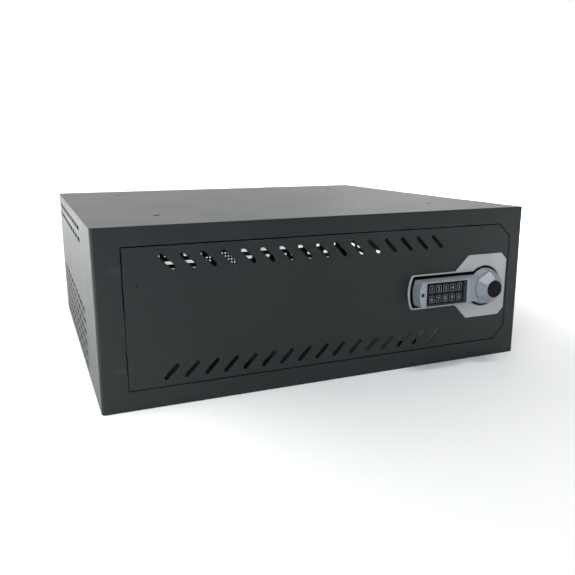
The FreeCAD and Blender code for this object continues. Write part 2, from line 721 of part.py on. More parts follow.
def casting_foot(inset, y0, y1):
    """The outline that the casting and the plinth under it share: keypad block, neck and collar."""
    keypad = slot_body(HOUSING_HALF_HEIGHT - inset, HOUSING_END_X + inset, HOUSING_END_RADIUS - inset,
                       HOUSING_RIGHT, y0, y1, HOUSING_CORNER - inset)
    neck = block(HOUSING_RIGHT, LOCK_X, y0, y1,
                 LOCK_Z - HOUSING_HALF_HEIGHT + inset, LOCK_Z + HOUSING_HALF_HEIGHT - inset)
    return fuse([keypad, neck, rod(COLLAR_RADIUS - inset, (LOCK_X, y0, LOCK_Z), INWARD, y1 - y0)])


def lock_tray():
    """Black moulded tray sunk through the door's cut-out, with the plinth that the casting stands on."""
    tub = pan_body(PAN_WALL, FRONT, PAN_REAR)
    hollow = pan_body(0.0, FRONT, PAN_FLOOR)
    foot_y = proud(HOUSING_FOOT)
    plinth = casting_foot(PLINTH_INSET, foot_y, PAN_FLOOR)
    bore = rod(JOURNAL_RADIUS, (LOCK_X, foot_y, LOCK_Z), INWARD, PAN_FLOOR - foot_y)
    shaft = rod(SHAFT_HOLE_RADIUS, (LOCK_X, PAN_FLOOR, LOCK_Z), INWARD, PAN_WALL)
    screw_holes = [rod(SCREW_RADIUS, (x, foot_y, z), INWARD, PAN_REAR - foot_y)
                   for x, z in lock_screw_places()]
    body = fuse([cut(tub, [hollow]), plinth])
    return cut(body, [bore, shaft, lead_slot(foot_y, PAN_REAR)] + screw_holes)


def lead_slot(y0, y1):
    """Room for the flat lead from the keypad board."""
    half_w = LEAD_HALF_WIDTH + LEAD_CLEARANCE
    half_h = LEAD_HALF_THICKNESS + LEAD_CLEARANCE
    return block(LEAD_X - half_w, LEAD_X + half_w, y0, y1, LOCK_Z - half_h, LOCK_Z + half_h)


def key_centres():
    """(name, x, z) of the ten keys: one to five above, six to nought below."""
    centres = []
    for i in range(10):
        column, row = i % KEY_COLUMNS, i // KEY_COLUMNS
        x = (WINDOW_LEFT + WINDOW_RIGHT) / 2 + (column - 2) * KEY_PITCH_X
        z = KEYPAD_Z + (0.5 - row) * KEY_PITCH_Z
        centres.append(("key_%d" % ((i + 1) % 10), x, z))
    return centres


def window_outline(grow_x=0.0, grow_z=0.0):
    return rectangle(WINDOW_LEFT - grow_x, WINDOW_RIGHT + grow_x, WINDOW_BOTTOM - grow_z, WINDOW_TOP + grow_z)


def keypad_housing():
    """One casting: the keypad block, the neck and the round collar that the knob turns in."""
    foot_y = proud(HOUSING_FOOT)
    keypad = slot_body(HOUSING_HALF_HEIGHT, HOUSING_END_X, HOUSING_END_RADIUS, HOUSING_RIGHT,
                       proud(HOUSING_PROUD), foot_y, HOUSING_CORNER)
    keypad = keypad.makeFillet(HOUSING_ROUND, front_edges(keypad, proud(HOUSING_PROUD)))
    neck = block(HOUSING_RIGHT, LOCK_X, proud(NECK_PROUD), foot_y,
                 LOCK_Z - HOUSING_HALF_HEIGHT, LOCK_Z + HOUSING_HALF_HEIGHT)
    collar = rod(COLLAR_RADIUS, (LOCK_X, proud(COLLAR_SLOPE_FOOT), LOCK_Z), INWARD,
                 COLLAR_SLOPE_FOOT - HOUSING_FOOT)
    slope_front = COLLAR_RADIUS - COLLAR_SLOPE_INSET
    slope = Part.makeCone(slope_front, COLLAR_RADIUS, COLLAR_PROUD - COLLAR_SLOPE_FOOT,
                          Vector(LOCK_X, proud(COLLAR_PROUD), LOCK_Z), INWARD)
    knob_room = rod(slope_front + 0.1, (LOCK_X, proud(NECK_PROUD), LOCK_Z), INWARD, NECK_PROUD - COLLAR_PROUD)
    body = fuse([keypad, neck, collar, slope])
    bevel = Part.makeLoft([
        wire(window_outline(BEVEL_SIDE, BEVEL_LONG), in_xz(proud(HOUSING_PROUD))),
        wire(window_outline(), in_xz(proud(HOUSING_PROUD - BEVEL_DEPTH))),
    ], True, True)
    window = block(WINDOW_LEFT, WINDOW_RIGHT, proud(HOUSING_PROUD - BEVEL_DEPTH), proud(FASCIA_REAR),
                   WINDOW_BOTTOM, WINDOW_TOP)
    cavity = block(WINDOW_LEFT + CAVITY_INSET, WINDOW_RIGHT - CAVITY_INSET, proud(FASCIA_REAR),
                   proud(CAVITY_FLOOR), WINDOW_BOTTOM + CAVITY_INSET, WINDOW_TOP - CAVITY_INSET)
    lead = lead_slot(proud(CAVITY_FLOOR), foot_y)
    lens_hole = rod(LENS_RADIUS, (LENS_X, proud(HOUSING_PROUD), LOCK_Z), INWARD, LENS_DEPTH)
    bore = rod(JOURNAL_RADIUS, (LOCK_X, proud(NECK_PROUD), LOCK_Z), INWARD, NECK_PROUD - HOUSING_FOOT)
    screw_holes = [rod(SCREW_RADIUS, (x, foot_y - CASTING_HOLE_DEPTH, z), INWARD, CASTING_HOLE_DEPTH)
                   for x, z in lock_screw_places()]
    return cut(body, [knob_room, bevel, window, cavity, lead, lens_hole, bore] + screw_holes)


def key_outline(x, z, grow):
    """A key's rounded outline, grown outwards."""
    half_w = KEY_WIDTH / 2 + grow
    half_h = KEY_HEIGHT / 2 + grow
    return rounded_rectangle(x - half_w, x + half_w, z - half_h, z + half_h, [KEY_CORNER + grow] * 4)


def keypad_fascia():
    """The black insert: a panel with an opening for each key, and a thin wall that lines the window."""
    holes = [key_outline(x, z, KEY_CLEARANCE) for _, x, z in key_centres()]
    panel = prism_y(window_outline(), proud(FASCIA_FRONT), proud(FASCIA_REAR), holes)
    mouth = window_outline(-FASCIA_WALL, -FASCIA_WALL)
    wall = prism_y(window_outline(), proud(HOUSING_PROUD - BEVEL_DEPTH), proud(FASCIA_FRONT), [mouth])
    return fuse([panel, wall])


def key(x, z):
    """A key: cap, retaining flange behind the fascia and a stem over its switch."""
    cap = prism_y(key_outline(x, z, 0.0), proud(FASCIA_FRONT + KEY_PROUD), proud(FASCIA_REAR))
    half_w = KEY_WIDTH / 2 + KEY_FLANGE
    half_h = KEY_HEIGHT / 2 + KEY_FLANGE
    flange_rear = FASCIA_REAR - KEY_FLANGE_THICKNESS
    flange = block(x - half_w, x + half_w, proud(FASCIA_REAR), proud(flange_rear), z - half_h, z + half_h)
    stem_tip = SWITCH_FRONT + KEY_TRAVEL + KEY_SPARE
    stem = rod(KEY_STEM_RADIUS, (x, proud(flange_rear), z), INWARD, flange_rear - stem_tip)
    return fuse([cap, flange, stem])


def keypad_board():
    return block(WINDOW_LEFT + CAVITY_INSET, WINDOW_RIGHT - CAVITY_INSET,
                 proud(BOARD_FRONT), proud(CAVITY_FLOOR),
                 WINDOW_BOTTOM + CAVITY_INSET, WINDOW_TOP - CAVITY_INSET)


def key_switches():
    """Ten low metal domes on the board, one under each key's stem."""
    front_y = proud(SWITCH_FRONT)
    domes = [rod(SWITCH_RADIUS, (x, front_y, z), INWARD, SWITCH_HEIGHT) for _, x, z in key_centres()]
    return Part.makeCompound(domes)


def status_lens():
    """Dark lens over the status light, with a slightly domed front."""
    body = rod(LENS_RADIUS, (LENS_X, proud(HOUSING_PROUD), LOCK_Z), INWARD, LENS_DEPTH)
    centre = Vector(LENS_X, proud(HOUSING_PROUD - LENS_INSET) + LENS_BALL_RADIUS, LOCK_Z)
    return body.common(Part.makeSphere(LENS_BALL_RADIUS, centre))


def ribbon_lead():
    """Flat lead from the keypad board down to the pan's underside, where it turns to the lock case."""
    return block(LEAD_X - LEAD_HALF_WIDTH, LEAD_X + LEAD_HALF_WIDTH, proud(CAVITY_FLOOR), PAN_REAR,
                 LOCK_Z - LEAD_HALF_THICKNESS, LOCK_Z + LEAD_HALF_THICKNESS)


# ---------------------------------------------------------------- knob
def knob():
    """Tapered grip with six flats on a round skirt, with a journal that turns in the collar."""
    axis = (LOCK_X, LOCK_Z)
    skirt_y = proud(KNOB_SKIRT_PROUD)
    foot_y = proud(COLLAR_PROUD + KNOB_GAP)
    skirt = rod(KNOB_SKIRT_RADIUS, (LOCK_X, skirt_y, LOCK_Z), INWARD, foot_y - skirt_y)
    skirt = skirt.makeFillet(SKIRT_ROUND, front_edges(skirt, skirt_y))
    base = wire(polygon(hexagon(*axis, KNOB_BASE_RADIUS, 30)), in_xz(skirt_y))
    top = wire(polygon(hexagon(*axis, KNOB_TOP_RADIUS, 30)), in_xz(proud(KNOB_PROUD)))
    grip = Part.makeLoft([base, top], True, True)
    ridges = [edge for edge in grip.Edges if edge.BoundBox.YLength > KNOB_PROUD - KNOB_SKIRT_PROUD - 0.01]
    grip = grip.makeFillet(RIDGE_ROUND, ridges)
    trim = rod(KNOB_SKIRT_RADIUS, (LOCK_X, proud(KNOB_PROUD), LOCK_Z), INWARD, KNOB_PROUD - KNOB_SKIRT_PROUD)
    grip = grip.common(trim)
    grip = grip.makeFillet(TOP_ROUND, front_edges(grip, proud(KNOB_PROUD)))
    journal = rod(JOURNAL_RADIUS - RUNNING, (LOCK_X, foot_y, LOCK_Z), INWARD, PAN_FLOOR - 0.2 - foot_y)
    body = fuse([skirt, grip, journal])
    seat_y = proud(KNOB_PROUD - CAP_SEAT_DEPTH)
    cap_seat = rod(CAP_RADIUS + RUNNING, (LOCK_X, proud(KNOB_PROUD), LOCK_Z), INWARD, CAP_SEAT_DEPTH)
    cylinder_bore = rod(CYLINDER_RADIUS, (LOCK_X, seat_y, LOCK_Z), INWARD, CYLINDER_LENGTH)
    half = SPINDLE_SQUARE / 2
    socket = block(LOCK_X - half, LOCK_X + half, proud(0.0), PAN_FLOOR, LOCK_Z - half, LOCK_Z + half)
    return cut(body, [cap_seat, cylinder_bore, socket])


def knob_cap():
    """Black disc that pulls out of the knob to uncover the override cylinder."""
    y0 = proud(CAP_PROUD)
    y1 = proud(KNOB_PROUD - CAP_SEAT_DEPTH + 0.5)
    disc = rod(CAP_RADIUS, (LOCK_X, y0, LOCK_Z), INWARD, y1 - y0)
    disc = disc.makeFillet(0.4, front_edges(disc, y0))
    hollow = rod(CAP_RADIUS - 1.5, (LOCK_X, y0 + 1.5, LOCK_Z), INWARD, y1 - y0)
    return cut(disc, [hollow])


def override_cylinder():
    """Brass cylinder pressed into the knob, with the bore that its plug turns in."""
    y0 = proud(KNOB_PROUD - CAP_SEAT_DEPTH)
    body = rod(CYLINDER_RADIUS, (LOCK_X, y0, LOCK_Z), INWARD, CYLINDER_LENGTH)
    return cut(body, [rod(PLUG_RADIUS, (LOCK_X, y0, LOCK_Z), INWARD, CYLINDER_LENGTH)])


def override_plug():
    """The plug with its keyway, turned by the emergency key."""
    y0 = proud(KNOB_PROUD - CAP_SEAT_DEPTH)
    body = rod(PLUG_RADIUS - RUNNING, (LOCK_X, y0, LOCK_Z), INWARD, CYLINDER_LENGTH - 0.2)
    keyway = block(LOCK_X - KEYWAY_HALF_WIDTH, LOCK_X + KEYWAY_HALF_WIDTH, y0, y0 + KEYWAY_DEPTH,
                   LOCK_Z - KEYWAY_HALF_HEIGHT, LOCK_Z + KEYWAY_HALF_HEIGHT)
    ward = block(LOCK_X, LOCK_X + WARD_REACH, y0, y0 + KEYWAY_DEPTH,
                 LOCK_Z - WARD_HALF_HEIGHT, LOCK_Z + WARD_HALF_HEIGHT)
    return cut(body, [keyway, ward])


def spindle():
    """Square shaft from the knob to the cam, turned down and threaded for the nut."""
    half = SPINDLE_SQUARE / 2
    end_y = CAM_FRONT + CAM_THICKNESS
    square = block(LOCK_X - half, LOCK_X + half, proud(0.0), end_y, LOCK_Z - half, LOCK_Z + half)
    return fuse([square, rod(THREAD_RADIUS, (LOCK_X, end_y, LOCK_Z), INWARD, THREAD_LENGTH)])


def rotor():
    """Disc on the spindle with a notch for the blocking pin at each end of the knob's turn."""
    y0 = BLOCK_Y - ROTOR_THICKNESS / 2
    y1 = BLOCK_Y + ROTOR_THICKNESS / 2
    half = SPINDLE_SQUARE / 2
    disc = rod(ROTOR_RADIUS, (LOCK_X, y0, LOCK_Z), INWARD, ROTOR_THICKNESS)
    inner = ROTOR_RADIUS - NOTCH_DEPTH
    side = NOTCH_WIDTH / 2
    below = block(LOCK_X - side, LOCK_X + side, y0, y1, LOCK_Z - ROTOR_RADIUS - 1, LOCK_Z - inner)
    right = block(LOCK_X + inner, LOCK_X + ROTOR_RADIUS + 1, y0, y1, LOCK_Z - side, LOCK_Z + side)
    shaft = block(LOCK_X - half, LOCK_X + half, y0, y1, LOCK_Z - half, LOCK_Z + half)
    return cut(disc, [below, right, shaft])


def cam():
    """Steel tongue, upright when unlocked, that swings behind the strike when the knob is turned."""
    y0, y1 = CAM_FRONT, CAM_FRONT + CAM_THICKNESS
    half = SPINDLE_SQUARE / 2
    r = CAM_HALF_WIDTH
    tip = LOCK_Z + CAM_REACH
    shoulder = tip - CAM_CORNER
    outline = [
        ((LOCK_X - r, LOCK_Z), (LOCK_X, LOCK_Z - r), (LOCK_X + r, LOCK_Z)),
        ((LOCK_X + r, LOCK_Z), (LOCK_X + r, shoulder)),
        ((LOCK_X + r, shoulder), (LOCK_X + r - CAM_CORNER, tip)),
        ((LOCK_X + r - CAM_CORNER, tip), (LOCK_X - r + CAM_CORNER, tip)),
        ((LOCK_X - r + CAM_CORNER, tip), (LOCK_X - r, shoulder)),
        ((LOCK_X - r, shoulder), (LOCK_X - r, LOCK_Z)),
    ]
    square = rectangle(LOCK_X - half, LOCK_X + half, LOCK_Z - half, LOCK_Z + half)
    return prism_y(outline, y0, y1, [square])


def cam_nut():
    front_y = CAM_FRONT + CAM_THICKNESS
    return hex_nut(LOCK_X, LOCK_Z, front_y, CAM_NUT_RADIUS, CAM_NUT_THICKNESS, THREAD_RADIUS)


# ---------------------------------------------------------------- lock, behind the door
def lock_screw_places():
    """Four screws that pull the lock case and the keypad housing together through the pan."""
    return [polar(LOCK_X, LOCK_Z, LOCK_SCREW_CIRCLE, 45 + 90 * i) for i in range(4)]


def case_screw_places():
    inset = CASE_WALL + CASE_BOSS / 2
    heights = (CASE_BOTTOM + inset, CASE_TOP - inset)
    return [(x, z) for x in (CASE_LEFT + inset, CASE_RIGHT - inset) for z in heights]


def lock_case():
    """Open-backed cast case with a screw boss in each corner."""
    shell = block(CASE_LEFT, CASE_RIGHT, PAN_REAR, CASE_REAR, CASE_BOTTOM, CASE_TOP)
    hollow = block(CASE_LEFT + CASE_WALL, CASE_RIGHT - CASE_WALL, PAN_REAR + CASE_WALL, CASE_REAR,
                   CASE_BOTTOM + CASE_WALL, CASE_TOP - CASE_WALL)
    half = CASE_BOSS / 2
    bosses = [block(x - half, x + half, PAN_REAR + CASE_WALL, CASE_REAR, z - half, z + half)
              for x, z in case_screw_places()]
    body = fuse([cut(shell, [hollow])] + bosses)
    shaft = rod(SHAFT_HOLE_RADIUS, (LOCK_X, PAN_REAR, LOCK_Z), INWARD, CASE_WALL)
    through = [rod(SCREW_RADIUS, (x, PAN_REAR, z), INWARD, CASE_WALL) for x, z in lock_screw_places()]
    blind = [rod(SCREW_RADIUS, (x, CASE_REAR - CASE_HOLE_DEPTH, z), INWARD, CASE_HOLE_DEPTH)
             for x, z in case_screw_places()]
    return cut(body, [shaft] + through + blind + wire_holes(CASE_LEFT, CASE_WALL))


def lock_cover():
    """Sheet cover over the back of the lock case."""
    outline = rectangle(CASE_LEFT, CASE_RIGHT, CASE_BOTTOM, CASE_TOP)
    holes = [circle(LOCK_X, LOCK_Z, SHAFT_HOLE_RADIUS)]
    holes += [circle(x, z, SCREW_RADIUS) for x, z in case_screw_places()]
    return prism_y(outline, CASE_REAR, CASE_REAR + COVER_THICKNESS, holes)


def cover_screws():
    return screws(case_screw_places(), CASE_REAR + COVER_THICKNESS, COVER_SCREW_HEAD, COVER_SCREW_LENGTH)


def lock_screws():
    grip = PAN_REAR + CASE_WALL - proud(HOUSING_FOOT)
    return screws(lock_screw_places(), PAN_REAR + CASE_WALL, LOCK_SCREW_HEAD, grip + LOCK_SCREW_BITE)


def solenoid_frame():
    """Bent steel yoke around the coil."""
    x0, x1 = LOCK_X - COIL_RADIUS, LOCK_X + COIL_RADIUS
    y0, y1 = BLOCK_Y - COIL_RADIUS, BLOCK_Y + COIL_RADIUS
    foot = block(x0, x1 + SHEET, y0, y1, COIL_BOTTOM - SHEET, COIL_BOTTOM)
    head = block(x0, x1 + SHEET, y0, y1, COIL_TOP, COIL_TOP + SHEET)
    side = block(x1, x1 + SHEET, y0, y1, COIL_BOTTOM, COIL_TOP)
    hole = rod(BLOCK_RADIUS + RUNNING, (LOCK_X, BLOCK_Y, COIL_BOTTOM), UP, COIL_TOP)
    return cut(fuse([foot, head, side]), [hole])


def solenoid_coil():
    coil = rod(COIL_RADIUS, (LOCK_X, BLOCK_Y, COIL_BOTTOM), UP, COIL_TOP - COIL_BOTTOM)
    return cut(coil, [rod(BLOCK_RADIUS + RUNNING, (LOCK_X, BLOCK_Y, COIL_BOTTOM), UP, COIL_TOP)])


def blocking_pin():
    """Steel plunger, drawn back from the rotor while the lock is released."""
    tip = LOCK_Z - ROTOR_RADIUS - BLOCK_GAP
    return rod(BLOCK_RADIUS, (LOCK_X, BLOCK_Y, COIL_BOTTOM + 0.5), UP, tip - COIL_BOTTOM - 0.5)


def control_board():
    """Circuit board on the front wall of the case, with a relay and a capacitor."""
    y0 = PAN_REAR + CASE_WALL
    y1 = y0 + BOARD_THICKNESS
    x0 = CASE_LEFT + CASE_WALL + 0.5
    board = block(x0, x0 + BOARD_WIDTH, y0, y1, LOCK_Z - BOARD_HALF_HEIGHT, LOCK_Z + BOARD_HALF_HEIGHT)
    relay_x = x0 + (BOARD_WIDTH - RELAY_WIDTH) / 2
    relay = block(relay_x, relay_x + RELAY_WIDTH, y1, y1 + RELAY_HEIGHT, RELAY_Z, RELAY_Z + RELAY_LENGTH)
    capacitor = rod(CAPACITOR_RADIUS, (x0 + BOARD_WIDTH / 2, y1, CAPACITOR_Z), INWARD, CAPACITOR_HEIGHT)
    return fuse([board, relay, capacitor])


# ---------------------------------------------------------------- battery holder
def cell_heights():
    return [LOCK_Z + (i - (CELL_COUNT - 1) / 2) * CELL_PITCH for i in range(CELL_COUNT)]


def holder_screw_places():
    return [(HOLDER_LEFT - EAR_HALF_WIDTH, LOCK_Z), (HOLDER_RIGHT + EAR_HALF_WIDTH, LOCK_Z - 20.0)]


def wire_holes(x, length):
    """Holes for the battery lead's wires through a wall that starts at x."""
    return [rod(WIRE_HOLE_RADIUS, (x, PAN_REAR + WIRE_DEPTH, z), RIGHT, length) for z in WIRE_HEIGHTS]


def battery_holder():
    """Moulded tray for four cells, with two screw ears."""
    shell = block(HOLDER_LEFT, HOLDER_RIGHT, PAN_REAR, HOLDER_REAR, HOLDER_BOTTOM, HOLDER_TOP)
    hollow = block(HOLDER_LEFT + HOLDER_WALL, HOLDER_RIGHT - HOLDER_WALL, PAN_REAR + HOLDER_WALL, HOLDER_REAR,
                   HOLDER_BOTTOM + HOLDER_WALL, HOLDER_TOP - HOLDER_WALL)
    ears = [block(x - EAR_HALF_WIDTH, x + EAR_HALF_WIDTH, PAN_REAR, PAN_REAR + EAR_THICKNESS,
                  z - EAR_HALF_WIDTH, z + EAR_HALF_WIDTH) for x, z in holder_screw_places()]
    holes = [rod(SCREW_RADIUS, (x, PAN_REAR, z), INWARD, EAR_THICKNESS) for x, z in holder_screw_places()]
    holes += wire_holes(HOLDER_RIGHT - HOLDER_WALL, HOLDER_WALL)
    return cut(fuse([cut(shell, [hollow])] + ears), holes)


def battery_screws():
    return screws(holder_screw_places(), PAN_REAR + EAR_THICKNESS, BATTERY_SCREW_HEAD, EAR_THICKNESS)


def battery_cover():
    """Slide-on lid of the battery holder, with a ribbed thumb grip."""
    lid_rear = HOLDER_REAR + HOLDER_LID
    lid = block(HOLDER_LEFT, HOLDER_RIGHT, HOLDER_REAR, lid_rear, HOLDER_BOTTOM, HOLDER_TOP)
    ribs = []
    for i in range(RIB_COUNT):
        x = HOLDER_LEFT + RIB_INSET + RIB_PITCH * i
        ribs.append(block(x, x + RIB_WIDTH, lid_rear, lid_rear + RIB_HEIGHT,
                          LOCK_Z - RIB_HALF_LENGTH, LOCK_Z + RIB_HALF_LENGTH))
    return fuse([lid] + ribs)


def batteries():
    """Four cells laid in alternate directions."""
    cells = []
    middle = (HOLDER_LEFT + HOLDER_RIGHT) / 2
    y = PAN_REAR + HOLDER_WALL + CELL_RADIUS + 0.3
    for i, z in enumerate(cell_heights()):
        facing = 1 if i % 2 else -1
        start_x = middle - facing * CELL_LENGTH / 2
        can = rod(CELL_RADIUS, (start_x, y, z), RIGHT * facing, CELL_LENGTH - CELL_NUB_HEIGHT)
        nub = rod(CELL_NUB_RADIUS, (start_x, y, z), RIGHT * facing, CELL_LENGTH)
        cells.append(fuse([can, nub]))
    return Part.makeCompound(cells)


def battery_lead():
    """The pair of short wires from the battery holder to the lock case."""
    start_x = HOLDER_RIGHT - HOLDER_WALL
    length = CASE_LEFT + CASE_WALL - start_x
    wires = [rod(WIRE_RADIUS, (start_x, PAN_REAR + WIRE_DEPTH, z), RIGHT, length) for z in WIRE_HEIGHTS]
    return Part.makeCompound(wires)


# ---------------------------------------------------------------- export
def all_nodes():
    """Every sub-part by name."""
    nodes = {
        "left_side_panel": side_panel(-1),
        "right_side_panel": side_panel(1),
        "top_panel": lid_sheet(TOP_UNDER, HEIGHT),
        "base_panel": lid_sheet(0.0, 0.0),
        "rear_panel": rear_panel(),
        "cable_port_trim": cable_port_trim(),
        "front_frame": front_frame(),
        "strike_bracket": strike_bracket(),
        "door_stops": door_stops(),
        "door_panel": door_panel(),
        "door_stiffener": door_stiffener(),
        "door_earth_stud": earth_stud(),
        "earth_nut": earth_nut(),
        "lock_escutcheon": lock_escutcheon(),
        "lock_tray": lock_tray(),
        "keypad_housing": keypad_housing(),
        "keypad_fascia": keypad_fascia(),
        "keypad_board": keypad_board(),
        "key_switches": key_switches(),
        "status_lens": status_lens(),
        "ribbon_lead": ribbon_lead(),
        "knob": knob(),
        "knob_cap": knob_cap(),
        "override_cylinder": override_cylinder(),
        "override_plug": override_plug(),
        "spindle": spindle(),
        "rotor": rotor(),
        "cam": cam(),
        "cam_nut": cam_nut(),
        "lock_case": lock_case(),
        "lock_cover": lock_cover(),
        "cover_screws": cover_screws(),
        "lock_screws": lock_screws(),
        "solenoid_frame": solenoid_frame(),
        "solenoid_coil": solenoid_coil(),
        "blocking_pin": blocking_pin(),
        "control_board": control_board(),
        "battery_holder": battery_holder(),
        "battery_screws": battery_screws(),
        "battery_cover": battery_cover(),
        "batteries": batteries(),
        "battery_lead": battery_lead(),
    }
    for place, z in HINGE_CENTRES.items():
        nodes["hinge_bracket_" + place] = hinge_bracket(z)
        nodes["hinge_leaf_" + place] = hinge_leaf(z)
        nodes["hinge_pin_" + place] = hinge_pin(z)
    for name, x, z in key_centres():
        nodes[name] = key(x, z)
    return nodes


os.makedirs("parts", exist_ok=True)
for node, shape in all_nodes().items():
    if not shape.isValid():
        print("not valid:", node)
    shape.exportStep("parts/%s.step" % node)
    print(node, len(shape.Solids), round(shape.Volume, 1))
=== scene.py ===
"""Looks for the ventilated lock-box safe: materials, printed keys, weld beads, studio light and camera."""

import json
import math
import random

import bmesh
import bpy
from mathutils import Matrix, Vector


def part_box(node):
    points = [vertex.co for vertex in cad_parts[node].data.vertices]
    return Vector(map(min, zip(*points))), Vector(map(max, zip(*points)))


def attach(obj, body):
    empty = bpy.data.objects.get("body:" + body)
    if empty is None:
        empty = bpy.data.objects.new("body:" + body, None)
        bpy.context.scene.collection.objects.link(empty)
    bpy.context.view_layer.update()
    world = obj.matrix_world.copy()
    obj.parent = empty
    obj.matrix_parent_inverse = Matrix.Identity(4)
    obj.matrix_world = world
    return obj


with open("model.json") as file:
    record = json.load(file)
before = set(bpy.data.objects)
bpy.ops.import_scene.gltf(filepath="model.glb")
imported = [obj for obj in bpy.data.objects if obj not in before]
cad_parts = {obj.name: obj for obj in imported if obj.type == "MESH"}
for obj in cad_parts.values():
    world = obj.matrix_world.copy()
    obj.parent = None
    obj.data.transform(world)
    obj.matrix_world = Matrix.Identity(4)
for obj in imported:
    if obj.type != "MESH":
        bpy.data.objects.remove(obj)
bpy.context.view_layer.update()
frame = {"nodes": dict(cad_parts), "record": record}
nodes = frame["nodes"]
record = frame["record"]

MM = 0.001                      # one millimetre in the scene's metres
HINGE_SIDES = ("upper", "lower")
KEY_NAMES = ["key_%d" % (i % 10) for i in range(1, 11)]
MIX_INPUTS = (0, 6, 7)          # a Mix node's sockets for its factor and its two colours
MIX_RESULT = 2                  # its socket for the mixed colour


# ---------------------------------------------------------------- shader helpers
def new_material(name):
    """An empty node material: (material, tree, principled shader)."""
    material = bpy.data.materials.new(name)
    material.use_nodes = True
    tree = material.node_tree
    return material, tree, tree.nodes["Principled BSDF"]


def shader_node(tree, kind, inputs=None, **settings):
    """Adds a node, sets its properties, and sets or links its inputs."""
    made = tree.nodes.new(kind)
    for key, value in settings.items():
        setattr(made, key, value)
    for key, value in (inputs or {}).items():
        if isinstance(value, bpy.types.NodeSocket):
            tree.links.new(value, made.inputs[key])
        else:
            made.inputs[key].default_value = value
    return made


def place(tree, stretch=(1, 1, 1), shift=(0, 0, 0)):
    """Object coordinates in metres, stretched and shifted along each axis."""
    coordinates = shader_node(tree, "ShaderNodeTexCoord").outputs["Object"]
    inputs = {"Vector": coordinates, "Scale": stretch, "Location": shift}
    return shader_node(tree, "ShaderNodeMapping", inputs).outputs["Vector"]


def noise(tree, vector, size, detail=2.0, roughness=0.5):
    """Noise whose blobs are about size metres across."""
    inputs = {"Vector": vector, "Scale": 1.0 / size, "Detail": detail, "Roughness": roughness}
    return shader_node(tree, "ShaderNodeTexNoise", inputs).outputs["Fac"]


def remap(tree, value, low, high, from_low=0.3, from_high=0.7):
    """Maps a factor to the range low to high; the default source range is where noise mostly lies."""
    inputs = {"Value": value, "From Min": from_low, "From Max": from_high, "To Min": low, "To Max": high}
    return shader_node(tree, "ShaderNodeMapRange", inputs).outputs["Result"]


def blend(tree, factor, first, second, how="MIX"):
    """Blends two colours, each a socket or a triple."""
    made = shader_node(tree, "ShaderNodeMix", data_type="RGBA", blend_type=how)
    for index, value in zip(MIX_INPUTS, (factor, first, second)):
        if isinstance(value, bpy.types.NodeSocket):
            tree.links.new(value, made.inputs[index])
        elif isinstance(value, tuple):
            made.inputs[index].default_value = (*value, 1.0)
        else:
            made.inputs[index].default_value = value
    return made.outputs[MIX_RESULT]


def vary(tree, pattern, first, second):
    """A colour that goes from the first to the second as a noise pattern rises."""
    return blend(tree, remap(tree, pattern, 0.0, 1.0), first, second)


def spot(tree, vector, centre, full_radius, outer_radius):
    """1 within full_radius of the centre, falling to 0 at outer_radius."""
    gap = shader_node(tree, "ShaderNodeVectorMath", {0: vector, 1: centre}, operation="DISTANCE")
    return remap(tree, gap.outputs["Value"], 1.0, 0.0, full_radius, outer_radius)


def add_bump(tree, shader, layers):
    """Chains bump layers, each (height, depth in metres, strength), into the shader's normal."""
    normal = None
    for height, depth, strength in layers:
        inputs = {"Height": height, "Distance": depth, "Strength": strength}
        if normal is not None:
            inputs["Normal"] = normal
        normal = shader_node(tree, "ShaderNodeBump", inputs).outputs["Normal"]
    tree.links.new(normal, shader.inputs["Normal"])


def feed(tree, shader, **inputs):
    """Sets or links the shader's inputs; an underscore in a name stands for a space."""
    for key, value in inputs.items():
        socket = shader.inputs[key.replace("_", " ")]
        if isinstance(value, bpy.types.NodeSocket):
            tree.links.new(value, socket)
        else:
            socket.default_value = value


# ---------------------------------------------------------------- materials
MARK_SQUEEZE = 2.4              # a weld mark is this many times wider than tall
MARK_RADIUS = 11 * MM           # half its width
MARK_INSET = 6 * MM             # from the door's edge out to the mark's middle, on the frame's face
PIT_FLOOR_RADIUS = 0.6 * MM
PIT_RADIUS = 2.2 * MM
PLASTIC_IOR = 1.25              # dull, as the photograph's plastics are
CELL_BAND = 11 * MM             # width of the copper-coloured band on a battery cell
CELL_BAND_EDGE = 0.2 * MM


def hinge_weld_marks(tree):
    """Soft marks in the frame's face, level with the brackets, where heat from the welds came through."""
    squeezed = place(tree, (1, 1, MARK_SQUEEZE))
    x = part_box("door_panel")[0].x - MARK_INSET
    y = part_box("front_frame")[0].y
    marks = []
    for side in HINGE_SIDES:
        low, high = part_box("hinge_bracket_" + side)
        z = (low.z + high.z) / 2
        marks.append(spot(tree, squeezed, (x, y, z * MARK_SQUEEZE), 0.0, MARK_RADIUS))
    return shader_node(tree, "ShaderNodeMath", {0: marks[0], 1: marks[1]}, operation="ADD").outputs["Value"]


def stud_pit(tree):
    """A small round pit in the door's face, where the earth stud is welded on behind it."""
    low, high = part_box("door_earth_stud")
    centre = ((low.x + high.x) / 2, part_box("door_panel")[0].y, (low.z + high.z) / 2)
    return spot(tree, place(tree), centre, PIT_FLOOR_RADIUS, PIT_RADIUS)


